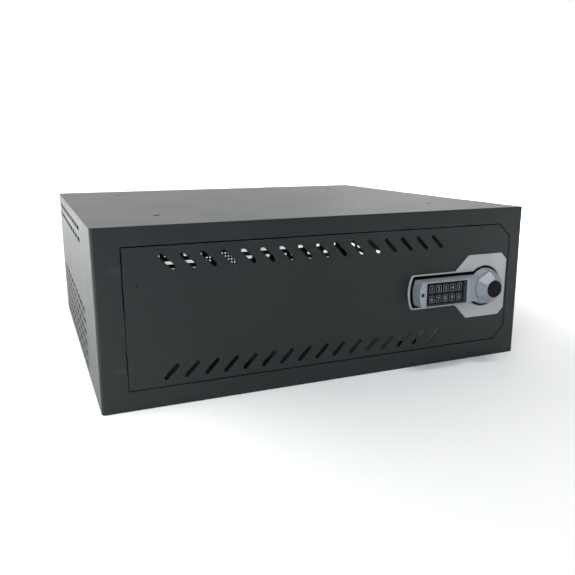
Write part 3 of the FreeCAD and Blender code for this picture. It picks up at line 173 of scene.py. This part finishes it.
def cabinet_paint():
    """Dark graphite powder coat: fine orange peel, faint cloudiness, the weld marks, and the stud's pit with
    painted shade darkening it.
    """
    material, tree, shader = new_material("graphite_powder_coat")
    here = place(tree)
    clouds = noise(tree, here, 90 * MM, 3.0)
    specks = noise(tree, here, 0.9 * MM)
    marks = hinge_weld_marks(tree)
    pit = stud_pit(tree)
    speck_colour = (0.030, 0.037, 0.038)
    mark_colour = (0.030, 0.036, 0.038)
    pit_shade_colour = (0.003, 0.003, 0.003)
    colour = vary(tree, clouds, (0.0120, 0.0172, 0.0180), (0.0145, 0.0198, 0.0206))
    colour = blend(tree, remap(tree, specks, 0.0, 0.35, 0.55, 0.75), colour, speck_colour)
    colour = blend(tree, remap(tree, marks, 0.0, 0.8, 0.0, 1.0), colour, mark_colour)
    # painted shade: the pit's floor is darkened towards black, standing in for the shade inside the pit
    colour = blend(tree, remap(tree, pit, 0.0, 0.8, 0.0, 1.0), colour, pit_shade_colour)
    feed(tree, shader, Base_Color=colour, Roughness=remap(tree, clouds, 0.42, 0.45), IOR=1.34)
    add_bump(tree, shader, [
        (noise(tree, here, 1.4 * MM), 0.06 * MM, 0.55),
        (specks, 0.02 * MM, 0.35),
        (noise(tree, here, 160 * MM, 1.0), 0.6 * MM, 0.07),
        (marks, 0.35 * MM, 0.6),
        (remap(tree, pit, 1.0, 0.0, 0.0, 1.0), 1.0 * MM, 1.0),
    ])
    return material


def escutcheon_paint():
    """Light grey satin paint over a casting."""
    material, tree, shader = new_material("light_grey_satin")
    here = place(tree)
    clouds = noise(tree, here, 20 * MM, 3.0)
    colour = vary(tree, clouds, (0.36, 0.385, 0.39), (0.41, 0.43, 0.435))
    feed(tree, shader, Base_Color=colour, Roughness=remap(tree, clouds, 0.36, 0.46), IOR=1.45)
    add_bump(tree, shader, [(noise(tree, here, 0.7 * MM), 0.03 * MM, 0.5)])
    return material


def housing_paint():
    """Bluish silver metallic paint with fine flake."""
    material, tree, shader = new_material("blue_silver_metallic")
    here = place(tree)
    flake = shader_node(tree, "ShaderNodeTexVoronoi", {"Vector": here, "Scale": 4500.0}).outputs["Color"]
    clouds = noise(tree, here, 15 * MM)
    colour = vary(tree, clouds, (0.245, 0.278, 0.308), (0.300, 0.330, 0.360))
    colour = blend(tree, 0.10, colour, flake, "OVERLAY")
    feed(tree, shader, Base_Color=colour, Metallic=0.28, Roughness=remap(tree, clouds, 0.42, 0.50), IOR=1.45)
    add_bump(tree, shader, [(noise(tree, here, 0.6 * MM), 0.02 * MM, 0.5)])
    return material


def moulded_plastic(name, colour, roughness, grain_size, grain_depth):
    """Coloured plastic with an even moulded grain."""
    material, tree, shader = new_material(name)
    here = place(tree)
    clouds = noise(tree, here, 12 * MM)
    lighter = tuple(channel * 1.35 + 0.002 for channel in colour)
    feed(tree, shader, Base_Color=vary(tree, clouds, colour, lighter),
         Roughness=remap(tree, clouds, roughness - 0.04, roughness + 0.05), IOR=PLASTIC_IOR)
    add_bump(tree, shader, [(noise(tree, here, grain_size, 3.0, 0.6), grain_depth, 0.6)])
    return material


def key_plastic():
    """Near-black plastic of the keys."""
    return moulded_plastic("black_key_plastic", (0.0022, 0.0026, 0.0042), 0.45, 0.8 * MM, 0.03 * MM)


def cap_plastic():
    """Dull black plastic of the knob's cap."""
    return moulded_plastic("black_cap_plastic", (0.0012, 0.0012, 0.0018), 0.62, 0.5 * MM, 0.03 * MM)


def black_moulding():
    """Black plastic of the lock's tray, battery holder and battery cover."""
    return moulded_plastic("black_moulding", (0.0080, 0.0085, 0.0100), 0.45, 0.9 * MM, 0.06 * MM)


def wire_cover():
    """Soft red insulation."""
    return moulded_plastic("red_wire_insulation", (0.16, 0.012, 0.010), 0.42, 0.9 * MM, 0.03 * MM)


def keypad_panel():
    """Blue-black panel behind the keys; the walls where the insert lines the window are given a lighter grey
    as a painted sheen.
    """
    material, tree, shader = new_material("black_keypad_panel")
    grain = noise(tree, place(tree), 2 * MM, 3.0, 0.6)
    facing = shader_node(tree, "ShaderNodeTexCoord").outputs["Normal"]
    forward = shader_node(tree, "ShaderNodeSeparateXYZ", {"Vector": facing}).outputs["Y"]
    frontal = shader_node(tree, "ShaderNodeMath", {0: forward}, operation="ABSOLUTE").outputs["Value"]
    # painted sheen: sideways-facing walls of the same black plastic get a lighter grey, standing in for the
    # light they catch
    wall_sheen_colour = (0.075, 0.084, 0.086)
    face_colour = vary(tree, grain, (0.0030, 0.0038, 0.0055), (0.0055, 0.0066, 0.0090))
    feed(tree, shader, Base_Color=blend(tree, frontal, wall_sheen_colour, face_colour),
         Roughness=remap(tree, grain, 0.32, 0.41), IOR=1.28)
    add_bump(tree, shader, [(grain, 0.02 * MM, 0.6)])
    return material


def dark_lens():
    """Smoked glossy lens over the status light."""
    material, tree, shader = new_material("smoked_lens")
    depth = noise(tree, place(tree), 2 * MM, 1.0)
    feed(tree, shader, Base_Color=blend(tree, depth, (0.003, 0.003, 0.004), (0.008, 0.007, 0.008)),
         Roughness=0.14, IOR=1.35)
    add_bump(tree, shader, [(depth, 0.02 * MM, 0.3)])
    return material


def zinc_plate():
    """Bright zinc plate with crystalline mottling and drawn lines."""
    material, tree, shader = new_material("bright_zinc_plate")
    here = place(tree)
    crystals = shader_node(tree, "ShaderNodeTexVoronoi", {"Vector": here, "Scale": 260.0}).outputs["Color"]
    lines = noise(tree, place(tree, (1.0, 1.0, 14.0)), 4 * MM, 3.0)
    colour = blend(tree, 0.22, (0.56, 0.57, 0.58), crystals, "SOFT_LIGHT")
    feed(tree, shader, Base_Color=colour, Metallic=1.0, Roughness=remap(tree, lines, 0.24, 0.42))
    add_bump(tree, shader, [(lines, 0.03 * MM, 0.4)])
    return material


def case_casting():
    """Grey lacquer over a die casting."""
    material, tree, shader = new_material("grey_cast_lacquer")
    skin = noise(tree, place(tree), 1.6 * MM, 4.0, 0.6)
    colour = vary(tree, skin, (0.13, 0.135, 0.14), (0.19, 0.195, 0.20))
    feed(tree, shader, Base_Color=colour, Metallic=0.6, Roughness=remap(tree, skin, 0.42, 0.58))
    add_bump(tree, shader, [(skin, 0.08 * MM, 0.6)])
    return material


def black_rubber():
    """Soft black edging with a dusty bloom."""
    material, tree, shader = new_material("black_edging_rubber")
    here = place(tree)
    bloom = noise(tree, here, 6 * MM, 4.0)
    colour = vary(tree, bloom, (0.012, 0.012, 0.012), (0.035, 0.034, 0.032))
    feed(tree, shader, Base_Color=colour, Roughness=remap(tree, bloom, 0.62, 0.85))
    add_bump(tree, shader, [(noise(tree, here, 0.8 * MM), 0.05 * MM, 0.6)])
    return material


def turned_brass():
    """Turned brass with tool rings about the knob's axis."""
    material, tree, shader = new_material("turned_brass")
    low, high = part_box("override_cylinder")
    centred = place(tree, shift=tuple((low + high) / -2))
    rings = shader_node(tree, "ShaderNodeTexWave", {"Vector": centred, "Scale": 900.0, "Distortion": 0.4},
                        wave_type="RINGS", rings_direction="Y").outputs["Fac"]
    tarnish = noise(tree, place(tree), 3 * MM, 3.0)
    colour = vary(tree, tarnish, (0.62, 0.43, 0.16), (0.48, 0.33, 0.13))
    feed(tree, shader, Base_Color=colour, Metallic=1.0, Roughness=remap(tree, tarnish, 0.2, 0.36))
    add_bump(tree, shader, [(rings, 0.02 * MM, 0.5)])
    return material


def copper_winding():
    """Enamelled copper wire wound in close turns, with painted shade darkening the grooves between turns."""
    material, tree, shader = new_material("enamelled_copper_winding")
    turns = shader_node(tree, "ShaderNodeTexWave", {"Vector": place(tree), "Scale": 1100.0},
                        bands_direction="Z").outputs["Fac"]
    # painted shade: the colour darks where the bump's grooves between turns lie
    feed(tree, shader, Base_Color=blend(tree, turns, (0.22, 0.07, 0.02), (0.60, 0.24, 0.09)), Metallic=0.8,
         Roughness=0.28, Coat_Weight=0.5)
    add_bump(tree, shader, [(turns, 0.12 * MM, 0.9)])
    return material


def circuit_board():
    """Green solder mask with tracks showing through."""
    material, tree, shader = new_material("green_circuit_board")
    here = place(tree)
    tracks = shader_node(tree, "ShaderNodeTexBrick", {
        "Vector": here,
        "Scale": 180.0,
        "Mortar Size": 0.06,
        "Color1": (0.008, 0.085, 0.03, 1),
        "Color2": (0.01, 0.10, 0.036, 1),
        "Mortar": (0.03, 0.19, 0.07, 1),
    }).outputs["Color"]
    grain = noise(tree, here, 1.2 * MM)
    feed(tree, shader, Base_Color=tracks, Roughness=remap(tree, grain, 0.3, 0.42), Coat_Weight=0.3)
    add_bump(tree, shader, [(grain, 0.03 * MM, 0.4)])
    return material


def battery_can():
    """Plain dark cell jacket with a copper-coloured band round the left end of each cell."""
    material, tree, shader = new_material("cell_jacket")
    here = place(tree)
    band_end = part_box("batteries")[0].x + CELL_BAND
    along = shader_node(tree, "ShaderNodeSeparateXYZ", {"Vector": here}).outputs["X"]
    past_band = remap(tree, along, 0.0, 1.0, band_end, band_end + CELL_BAND_EDGE)
    scuffs = noise(tree, here, 4 * MM, 4.0)
    scuff_colour = (0.2, 0.2, 0.2)
    colour = blend(tree, past_band, (0.36, 0.20, 0.07), (0.022, 0.024, 0.028))
    colour = blend(tree, remap(tree, scuffs, 0.0, 0.2, 0.6, 0.8), colour, scuff_colour)
    feed(tree, shader, Base_Color=colour, Metallic=0.5, Roughness=remap(tree, scuffs, 0.25, 0.4))
    add_bump(tree, shader, [(scuffs, 0.03 * MM, 0.3)])
    return material


def key_print():
    """Pale grey ink for the keys' outlines and digits, slightly worn."""
    material, tree, shader = new_material("key_ink")
    wear = noise(tree, place(tree), 2.2 * MM, 3.0)
    colour = vary(tree, wear, (0.22, 0.238, 0.255), (0.30, 0.318, 0.335))
    feed(tree, shader, Base_Color=colour, Roughness=remap(tree, wear, 0.45, 0.6))
    add_bump(tree, shader, [(wear, 0.02 * MM, 0.4)])
    return material


def floor_paper():
    """Plain pale studio floor with a trace of tooth."""
    material, tree, shader = new_material("pale_studio_floor")
    here = place(tree)
    tone = noise(tree, here, 500 * MM)
    colour = blend(tree, tone, (0.90, 0.90, 0.90), (0.93, 0.93, 0.93))
    feed(tree, shader, Base_Color=colour, Roughness=0.85, IOR=1.2)
    add_bump(tree, shader, [(noise(tree, here, 4 * MM), 0.2 * MM, 0.2)])
    return material


# ---------------------------------------------------------------- dress the CAD nodes
slot_materials = {
    "cabinet_paint": cabinet_paint(),
    "escutcheon_paint": escutcheon_paint(),
    "housing_paint": housing_paint(),
    "fascia_plastic": keypad_panel(),
    "key_plastic": key_plastic(),
    "cap_plastic": cap_plastic(),
    "dark_lens": dark_lens(),
    "zinc_plated_steel": zinc_plate(),
    "case_casting": case_casting(),
    "black_plastic": black_moulding(),
    "black_rubber": black_rubber(),
    "brass": turned_brass(),
    "copper_winding": copper_winding(),
    "circuit_board": circuit_board(),
    "battery_can": battery_can(),
    "wire_cover": wire_cover(),
}
key_ink = key_print()

for row in record["subparts"]:
    node_mesh = nodes[row["node"]].data
    node_mesh.materials.clear()
    node_mesh.materials.append(slot_materials[row["material_slot"]])


def add_piece(name, data, material, body):
    """Wraps a bmesh as a piece that rides on a body."""
    mesh = bpy.data.meshes.new(name)
    data.to_mesh(mesh)
    data.free()
    mesh.materials.append(material)
    piece = bpy.data.objects.new(name, mesh)
    bpy.context.scene.collection.objects.link(piece)
    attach(piece, body)


# ---------------------------------------------------------------- printed keys
KEY_FLANGE = 0.75 * MM          # how far a key's hidden flange stands out round its cap
PRINT_MARGIN = 0.25 * MM        # from the cap's edge to the printed outline
OUTLINE_WIDTH = 0.38 * MM
OUTLINE_CORNER = 1.1 * MM       # outer corner radius
OUTLINE_INNER_CORNER = 0.8 * MM
CORNER_STEPS = 5
INK_DEPTH = 0.04 * MM           # how far the print stands on the key, and sinks into it
DIGIT_HEIGHT = 5.2 * MM
SIZE_PER_HEIGHT = 1.35          # text size for each unit of a digit's height
DIGIT_WEIGHT = 0.02 * MM        # how much the digits' strokes are fattened
DIGIT_CURVE_STEPS = 4


def rounded_loop(half_w, half_h, radius):
    """Points of a rounded rectangle about the origin, anticlockwise."""
    points = []
    for side_x, side_z, start in ((1, 1, 0), (-1, 1, 90), (-1, -1, 180), (1, -1, 270)):
        for i in range(CORNER_STEPS + 1):
            angle = math.radians(start + 90.0 * i / CORNER_STEPS)
            points.append((side_x * (half_w - radius) + radius * math.cos(angle),
                           side_z * (half_h - radius) + radius * math.sin(angle)))
    return points


def ring_prism(data, centre, outer, inner, front_y, back_y):
    """Adds a flat ring with its outlines in the XZ plane, from front_y to back_y."""
    loops = []
    for outline, y in ((outer, front_y), (inner, front_y), (inner, back_y), (outer, back_y)):
        loops.append([data.verts.new((centre.x + u, y, centre.z + v)) for u, v in outline])
    count = len(outer)
    for a, b in zip(loops, loops[1:] + loops[:1]):
        for i in range(count):
            j = (i + 1) % count
            data.faces.new((a[i], a[j], b[j], b[i]))


def key_outline(key_name):
    """The printed rounded square around a key's digit."""
    low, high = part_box(key_name)
    half_w = (high.x - low.x) / 2 - KEY_FLANGE - PRINT_MARGIN
    half_h = (high.z - low.z) / 2 - KEY_FLANGE - PRINT_MARGIN
    outer = rounded_loop(half_w, half_h, OUTLINE_CORNER)
    inner = rounded_loop(half_w - OUTLINE_WIDTH, half_h - OUTLINE_WIDTH, OUTLINE_INNER_CORNER)
    data = bmesh.new()
    ring_prism(data, (low + high) / 2, outer, inner, low.y - INK_DEPTH, low.y + INK_DEPTH)
    bmesh.ops.recalc_face_normals(data, faces=data.faces)
    add_piece("outline_" + key_name, data, key_ink, key_name)


def digit_text(key_name):
    """The key's digit as a bmesh, lying in the XY plane as text does."""
    curve = bpy.data.curves.new("digit_curve_" + key_name, "FONT")
    curve.body = key_name[-1]
    curve.size = DIGIT_HEIGHT * SIZE_PER_HEIGHT
    curve.extrude = INK_DEPTH
    curve.offset = DIGIT_WEIGHT
    curve.resolution_u = DIGIT_CURVE_STEPS
    text = bpy.data.objects.new("digit_text_" + key_name, curve)
    bpy.context.scene.collection.objects.link(text)
    bpy.context.view_layer.update()
    mesh = bpy.data.meshes.new_from_object(text.evaluated_get(bpy.context.evaluated_depsgraph_get()))
    bpy.data.objects.remove(text)
    data = bmesh.new()
    data.from_mesh(mesh)
    bpy.data.meshes.remove(mesh)
    return data


def key_digit(key_name):
    """The key's digit as a thin raised print, centred on the key's front."""
    data = digit_text(key_name)
    xs = [vert.co.x for vert in data.verts]
    ys = [vert.co.y for vert in data.verts]
    to_centre = Vector((-(min(xs) + max(xs)) / 2, -(min(ys) + max(ys)) / 2, 0.0))
    bmesh.ops.translate(data, verts=data.verts, vec=to_centre)
    bmesh.ops.rotate(data, verts=data.verts, cent=(0, 0, 0), matrix=Matrix.Rotation(math.pi / 2, 3, "X"))
    low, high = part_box(key_name)
    centre = (low + high) / 2
    bmesh.ops.translate(data, verts=data.verts, vec=Vector((centre.x, low.y, centre.z)))
    add_piece("digit_" + key_name, data, key_ink, key_name)


# ---------------------------------------------------------------- weld beads
INWARD = Vector((0, 1, 0))      # from the door and the frame into the cabinet
LEFTWARD = Vector((-1, 0, 0))   # from the right side panel into the cabinet
BEAD_SIDES = 8
BEAD_STEP = 0.45 * MM           # from one ring of a bead's mesh to the next
MIN_BEAD_STEPS = 8
RIPPLE_LENGTH = 1.5 * MM
RIPPLE_DEPTH = 0.14             # part of the radius
BEAD_FLATNESS = 0.6             # a bead's height against its half width
BEAD_TIP = 0.25                 # its radius at the ends, as part of the full one
BEAD_TAPER = 4.0                # how fast it widens from there, for each bead length
BEAD_UNEVENNESS = 0.05          # random part of the radius
BRACKET_BEAD = 2.6 * MM         # bead widths
LEAF_BEAD = 2.4 * MM
STITCH_BEAD = 2.2 * MM
STRIKE_BEAD = 2.4 * MM
BEAD_LIFT = 0.4 * MM            # from the plane where two sheets meet to the bead's middle line
STITCH_LIFT = 0.2 * MM
BRACKET_BEAD_START = 1 * MM     # along the bracket's foot
BRACKET_BEAD_END = 13 * MM
LEAF_BEAD_INSET = 2 * MM
STRIKE_FRONT_INSET = 4 * MM
STRIKE_REAR_INSET = 2 * MM
STITCHES = 5
STITCH_LENGTH = 14 * MM
FIRST_STITCH = 0.06             # parts of the stiffener's length
STITCH_PITCH = 0.21


def weld_bead(name, start, end, up, width, body):
    """A rippled fillet weld from start to end that bulges along up and thins at both ends."""
    random.seed(name)
    along = end - start
    length = along.length
    along.normalize()
    across = along.cross(up).normalized()
    steps = max(MIN_BEAD_STEPS, int(length / BEAD_STEP))
    data = bmesh.new()
    previous = None
    for i in range(steps + 1):
        t = i / steps
        taper = min(1.0, BEAD_TIP + BEAD_TAPER * min(t, 1 - t))
        ripple = 1.0 - RIPPLE_DEPTH + RIPPLE_DEPTH * abs(math.sin(math.pi * length * t / RIPPLE_LENGTH))
        radius = 0.5 * width * taper * ripple * random.uniform(1 - BEAD_UNEVENNESS, 1 + BEAD_UNEVENNESS)
        centre = start + along * (length * t)
        ring = []
        for k in range(BEAD_SIDES):
            angle = 2 * math.pi * k / BEAD_SIDES
            sideways = across * (radius * math.cos(angle))
            upward = up * (BEAD_FLATNESS * radius * math.sin(angle))
            ring.append(data.verts.new(centre + sideways + upward))
        if previous:
            for k in range(BEAD_SIDES):
                following = (k + 1) % BEAD_SIDES
                data.faces.new((previous[k], previous[following], ring[following], ring[k]))
        else:
            data.faces.new(ring)
        previous = ring
    data.faces.new(previous)
    bmesh.ops.recalc_face_normals(data, faces=data.faces)
    for face in data.faces:
        face.smooth = True
    add_piece(name, data, slot_materials["cabinet_paint"], body)


def hinge_welds(side):
    """Beads along both ends of the bracket's foot and the free edge of the door leaf."""
    low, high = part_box("hinge_bracket_" + side)
    y = low.y + BEAD_LIFT
    for tag, z in (("top", high.z), ("bottom", low.z)):
        start = Vector((low.x + BRACKET_BEAD_START, y, z))
        end = Vector((low.x + BRACKET_BEAD_END, y, z))
        weld_bead("weld_bracket_%s_%s" % (side, tag), start, end, INWARD, BRACKET_BEAD, "cabinet")
    low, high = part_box("hinge_leaf_" + side)
    y = low.y + BEAD_LIFT
    start = Vector((high.x, y, low.z + LEAF_BEAD_INSET))
    end = Vector((high.x, y, high.z - LEAF_BEAD_INSET))
    weld_bead("weld_leaf_" + side, start, end, INWARD, LEAF_BEAD, "door")


def stiffener_welds():
    """Short stitch welds along both flanges of the door's stiffener."""
    low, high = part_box("door_stiffener")
    y = low.y + STITCH_LIFT
    for flange, z in (("low", low.z), ("high", high.z)):
        for i in range(STITCHES):
            x = low.x + (high.x - low.x) * (FIRST_STITCH + STITCH_PITCH * i)
            start = Vector((x, y, z))
            end = Vector((x + STITCH_LENGTH, y, z))
            weld_bead("weld_stiffener_%s_%d" % (flange, i), start, end, INWARD, STITCH_BEAD, "door")


def strike_welds():
    """Beads where the strike's foot meets the side panel."""
    low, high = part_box("strike_bracket")
    x = high.x - BEAD_LIFT
    for tag, z in (("top", high.z), ("bottom", low.z)):
        start = Vector((x, low.y + STRIKE_FRONT_INSET, z))
        end = Vector((x, high.y - STRIKE_REAR_INSET, z))
        weld_bead("weld_strike_" + tag, start, end, LEFTWARD, STRIKE_BEAD, "cabinet")


for numbered_key in KEY_NAMES:
    key_outline(numbered_key)
    key_digit(numbered_key)
for hinge_side in HINGE_SIDES:
    hinge_welds(hinge_side)
stiffener_welds()
strike_welds()


# ---------------------------------------------------------------- studio
WHITE = (1.0, 1.0, 1.0)
FAINT_YELLOW = (1.0, 1.0, 0.94)
PALE_BLUE = (0.84, 0.93, 1.0)
WORLD_STRENGTH = 0.30
GRID_SPREAD = 25.0              # degrees: a gridded panel lights only what is right below it
OPEN_SPREAD = 180.0
SWEEP_FRONT = -9.0              # metres, along Y
SWEEP_BEND = 3.0                # where the floor starts to curve up
SWEEP_RADIUS = 2.5
SWEEP_HEIGHT = 7.0
SWEEP_HALF_WIDTH = 10.0
SWEEP_STEPS = 16


def studio_sweep():
    """A wide pale floor that curves up into a back wall."""
    profile = [(SWEEP_FRONT, 0.0), (SWEEP_BEND, 0.0)]
    for i in range(1, SWEEP_STEPS + 1):
        angle = math.radians(90.0 * i / SWEEP_STEPS)
        profile.append((SWEEP_BEND + SWEEP_RADIUS * math.sin(angle), SWEEP_RADIUS * (1 - math.cos(angle))))
    profile.append((SWEEP_BEND + SWEEP_RADIUS, SWEEP_HEIGHT))
    data = bmesh.new()
    left = [data.verts.new((-SWEEP_HALF_WIDTH, y, z)) for y, z in profile]
    right = [data.verts.new((SWEEP_HALF_WIDTH, y, z)) for y, z in profile]
    for i in range(len(profile) - 1):
        data.faces.new((left[i], right[i], right[i + 1], left[i + 1]))
    for face in data.faces:
        face.smooth = True
    mesh = bpy.data.meshes.new("studio_sweep")
    data.to_mesh(mesh)
    data.free()
    mesh.materials.append(floor_paper())
    sweep = bpy.data.objects.new("studio_sweep", mesh)
    bpy.context.scene.collection.objects.link(sweep)


def studio_world():
    """A dim white surround that fills the shadows."""
    world = bpy.data.worlds.new("studio_world")
    world.use_nodes = True
    background = world.node_tree.nodes["Background"]
    background.inputs["Color"].default_value = (*WHITE, 1.0)
    background.inputs["Strength"].default_value = WORLD_STRENGTH
    bpy.context.scene.world = world


def area_light(name, location, size, power, colour, spread):
    """A rectangular light that faces straight down; it shows in reflections but not to the camera."""
    light = bpy.data.lights.new(name, "AREA")
    light.shape = "RECTANGLE"
    light.size, light.size_y = size
    light.energy = power
    light.color = colour
    light.spread = math.radians(spread)
    lamp = bpy.data.objects.new(name, light)
    lamp.location = location
    lamp.visible_camera = False
    bpy.context.scene.collection.objects.link(lamp)
    return lamp


def ceiling_panel(name, location, size, power, colour=WHITE):
    """A gridded panel that hangs level over one stretch of the floor."""
    area_light(name, location, size, power, colour, GRID_SPREAD)


def soft_light(name, location, target, size, power, colour=WHITE, spread=OPEN_SPREAD):
    """A panel turned towards a target."""
    lamp = area_light(name, location, size, power, colour, spread)
    lamp.rotation_euler = (Vector(target) - Vector(location)).to_track_quat("-Z", "Y").to_euler()


def studio_lights():
    """Ceiling panels keep the floor white; soft lights shape the door, the sides and the back wall."""
    ceiling_panel("front_ceiling_panel", (0.1, -0.9, 3.0), (3.6, 1.4), 7.5)
    ceiling_panel("left_ceiling_panel", (-1.3, 0.8, 3.0), (1.4, 3.2), 74.0, FAINT_YELLOW)
    ceiling_panel("right_ceiling_panel", (1.75, 0.7, 3.0), (1.8, 3.4), 105.0)
    ceiling_panel("rear_ceiling_panel", (1.4, 3.0, 3.2), (7.0, 3.2), 84.0)
    soft_light("wall_wash", (2.6, 2.8, 4.6), (3.2, 5.4, 1.0), (12.0, 1.0), 132.0, spread=90.0)
    soft_light("left_window", (-2.3, 0.9, 0.6), (-0.2, 0.0, 0.1), (1.4, 0.9), 20.0, FAINT_YELLOW)
    soft_light("right_panel", (2.8, 2.8, 2.1), (0.2, 0.0, 0.2), (2.4, 1.6), 20.0)
    soft_light("front_softbox", (-2.0, -2.4, 1.7), (-0.1, -0.2, 0.1), (2.2, 1.8), 46.0, PALE_BLUE)
    soft_light("front_overhead", (0.0, -2.6, 3.2), (0.0, -0.2, 0.0), (4.5, 3.0), 16.0)


def photo_camera():
    """The camera stands left of the door and a little above the lid, and looks slightly down."""
    eye = Vector((-0.3302, -0.8946, 0.2802))
    forward = Vector((0.37455, 0.90012, -0.22250))
    roll = math.radians(-0.17)
    camera = bpy.data.cameras.new("photo_camera")
    camera.sensor_width = 36.0
    camera.lens = 39.23
    holder = bpy.data.objects.new("photo_camera", camera)
    turn = forward.to_track_quat("-Z", "Y").to_matrix() @ Matrix.Rotation(roll, 3, "Z")
    holder.matrix_world = Matrix.Translation(eye) @ turn.to_4x4()
    bpy.context.scene.collection.objects.link(holder)
    bpy.context.scene.camera = holder


bpy.context.scene.view_settings.view_transform = "Standard"     # plain colours: the pale floor stays white
studio_sweep()
studio_world()
studio_lights()
photo_camera()
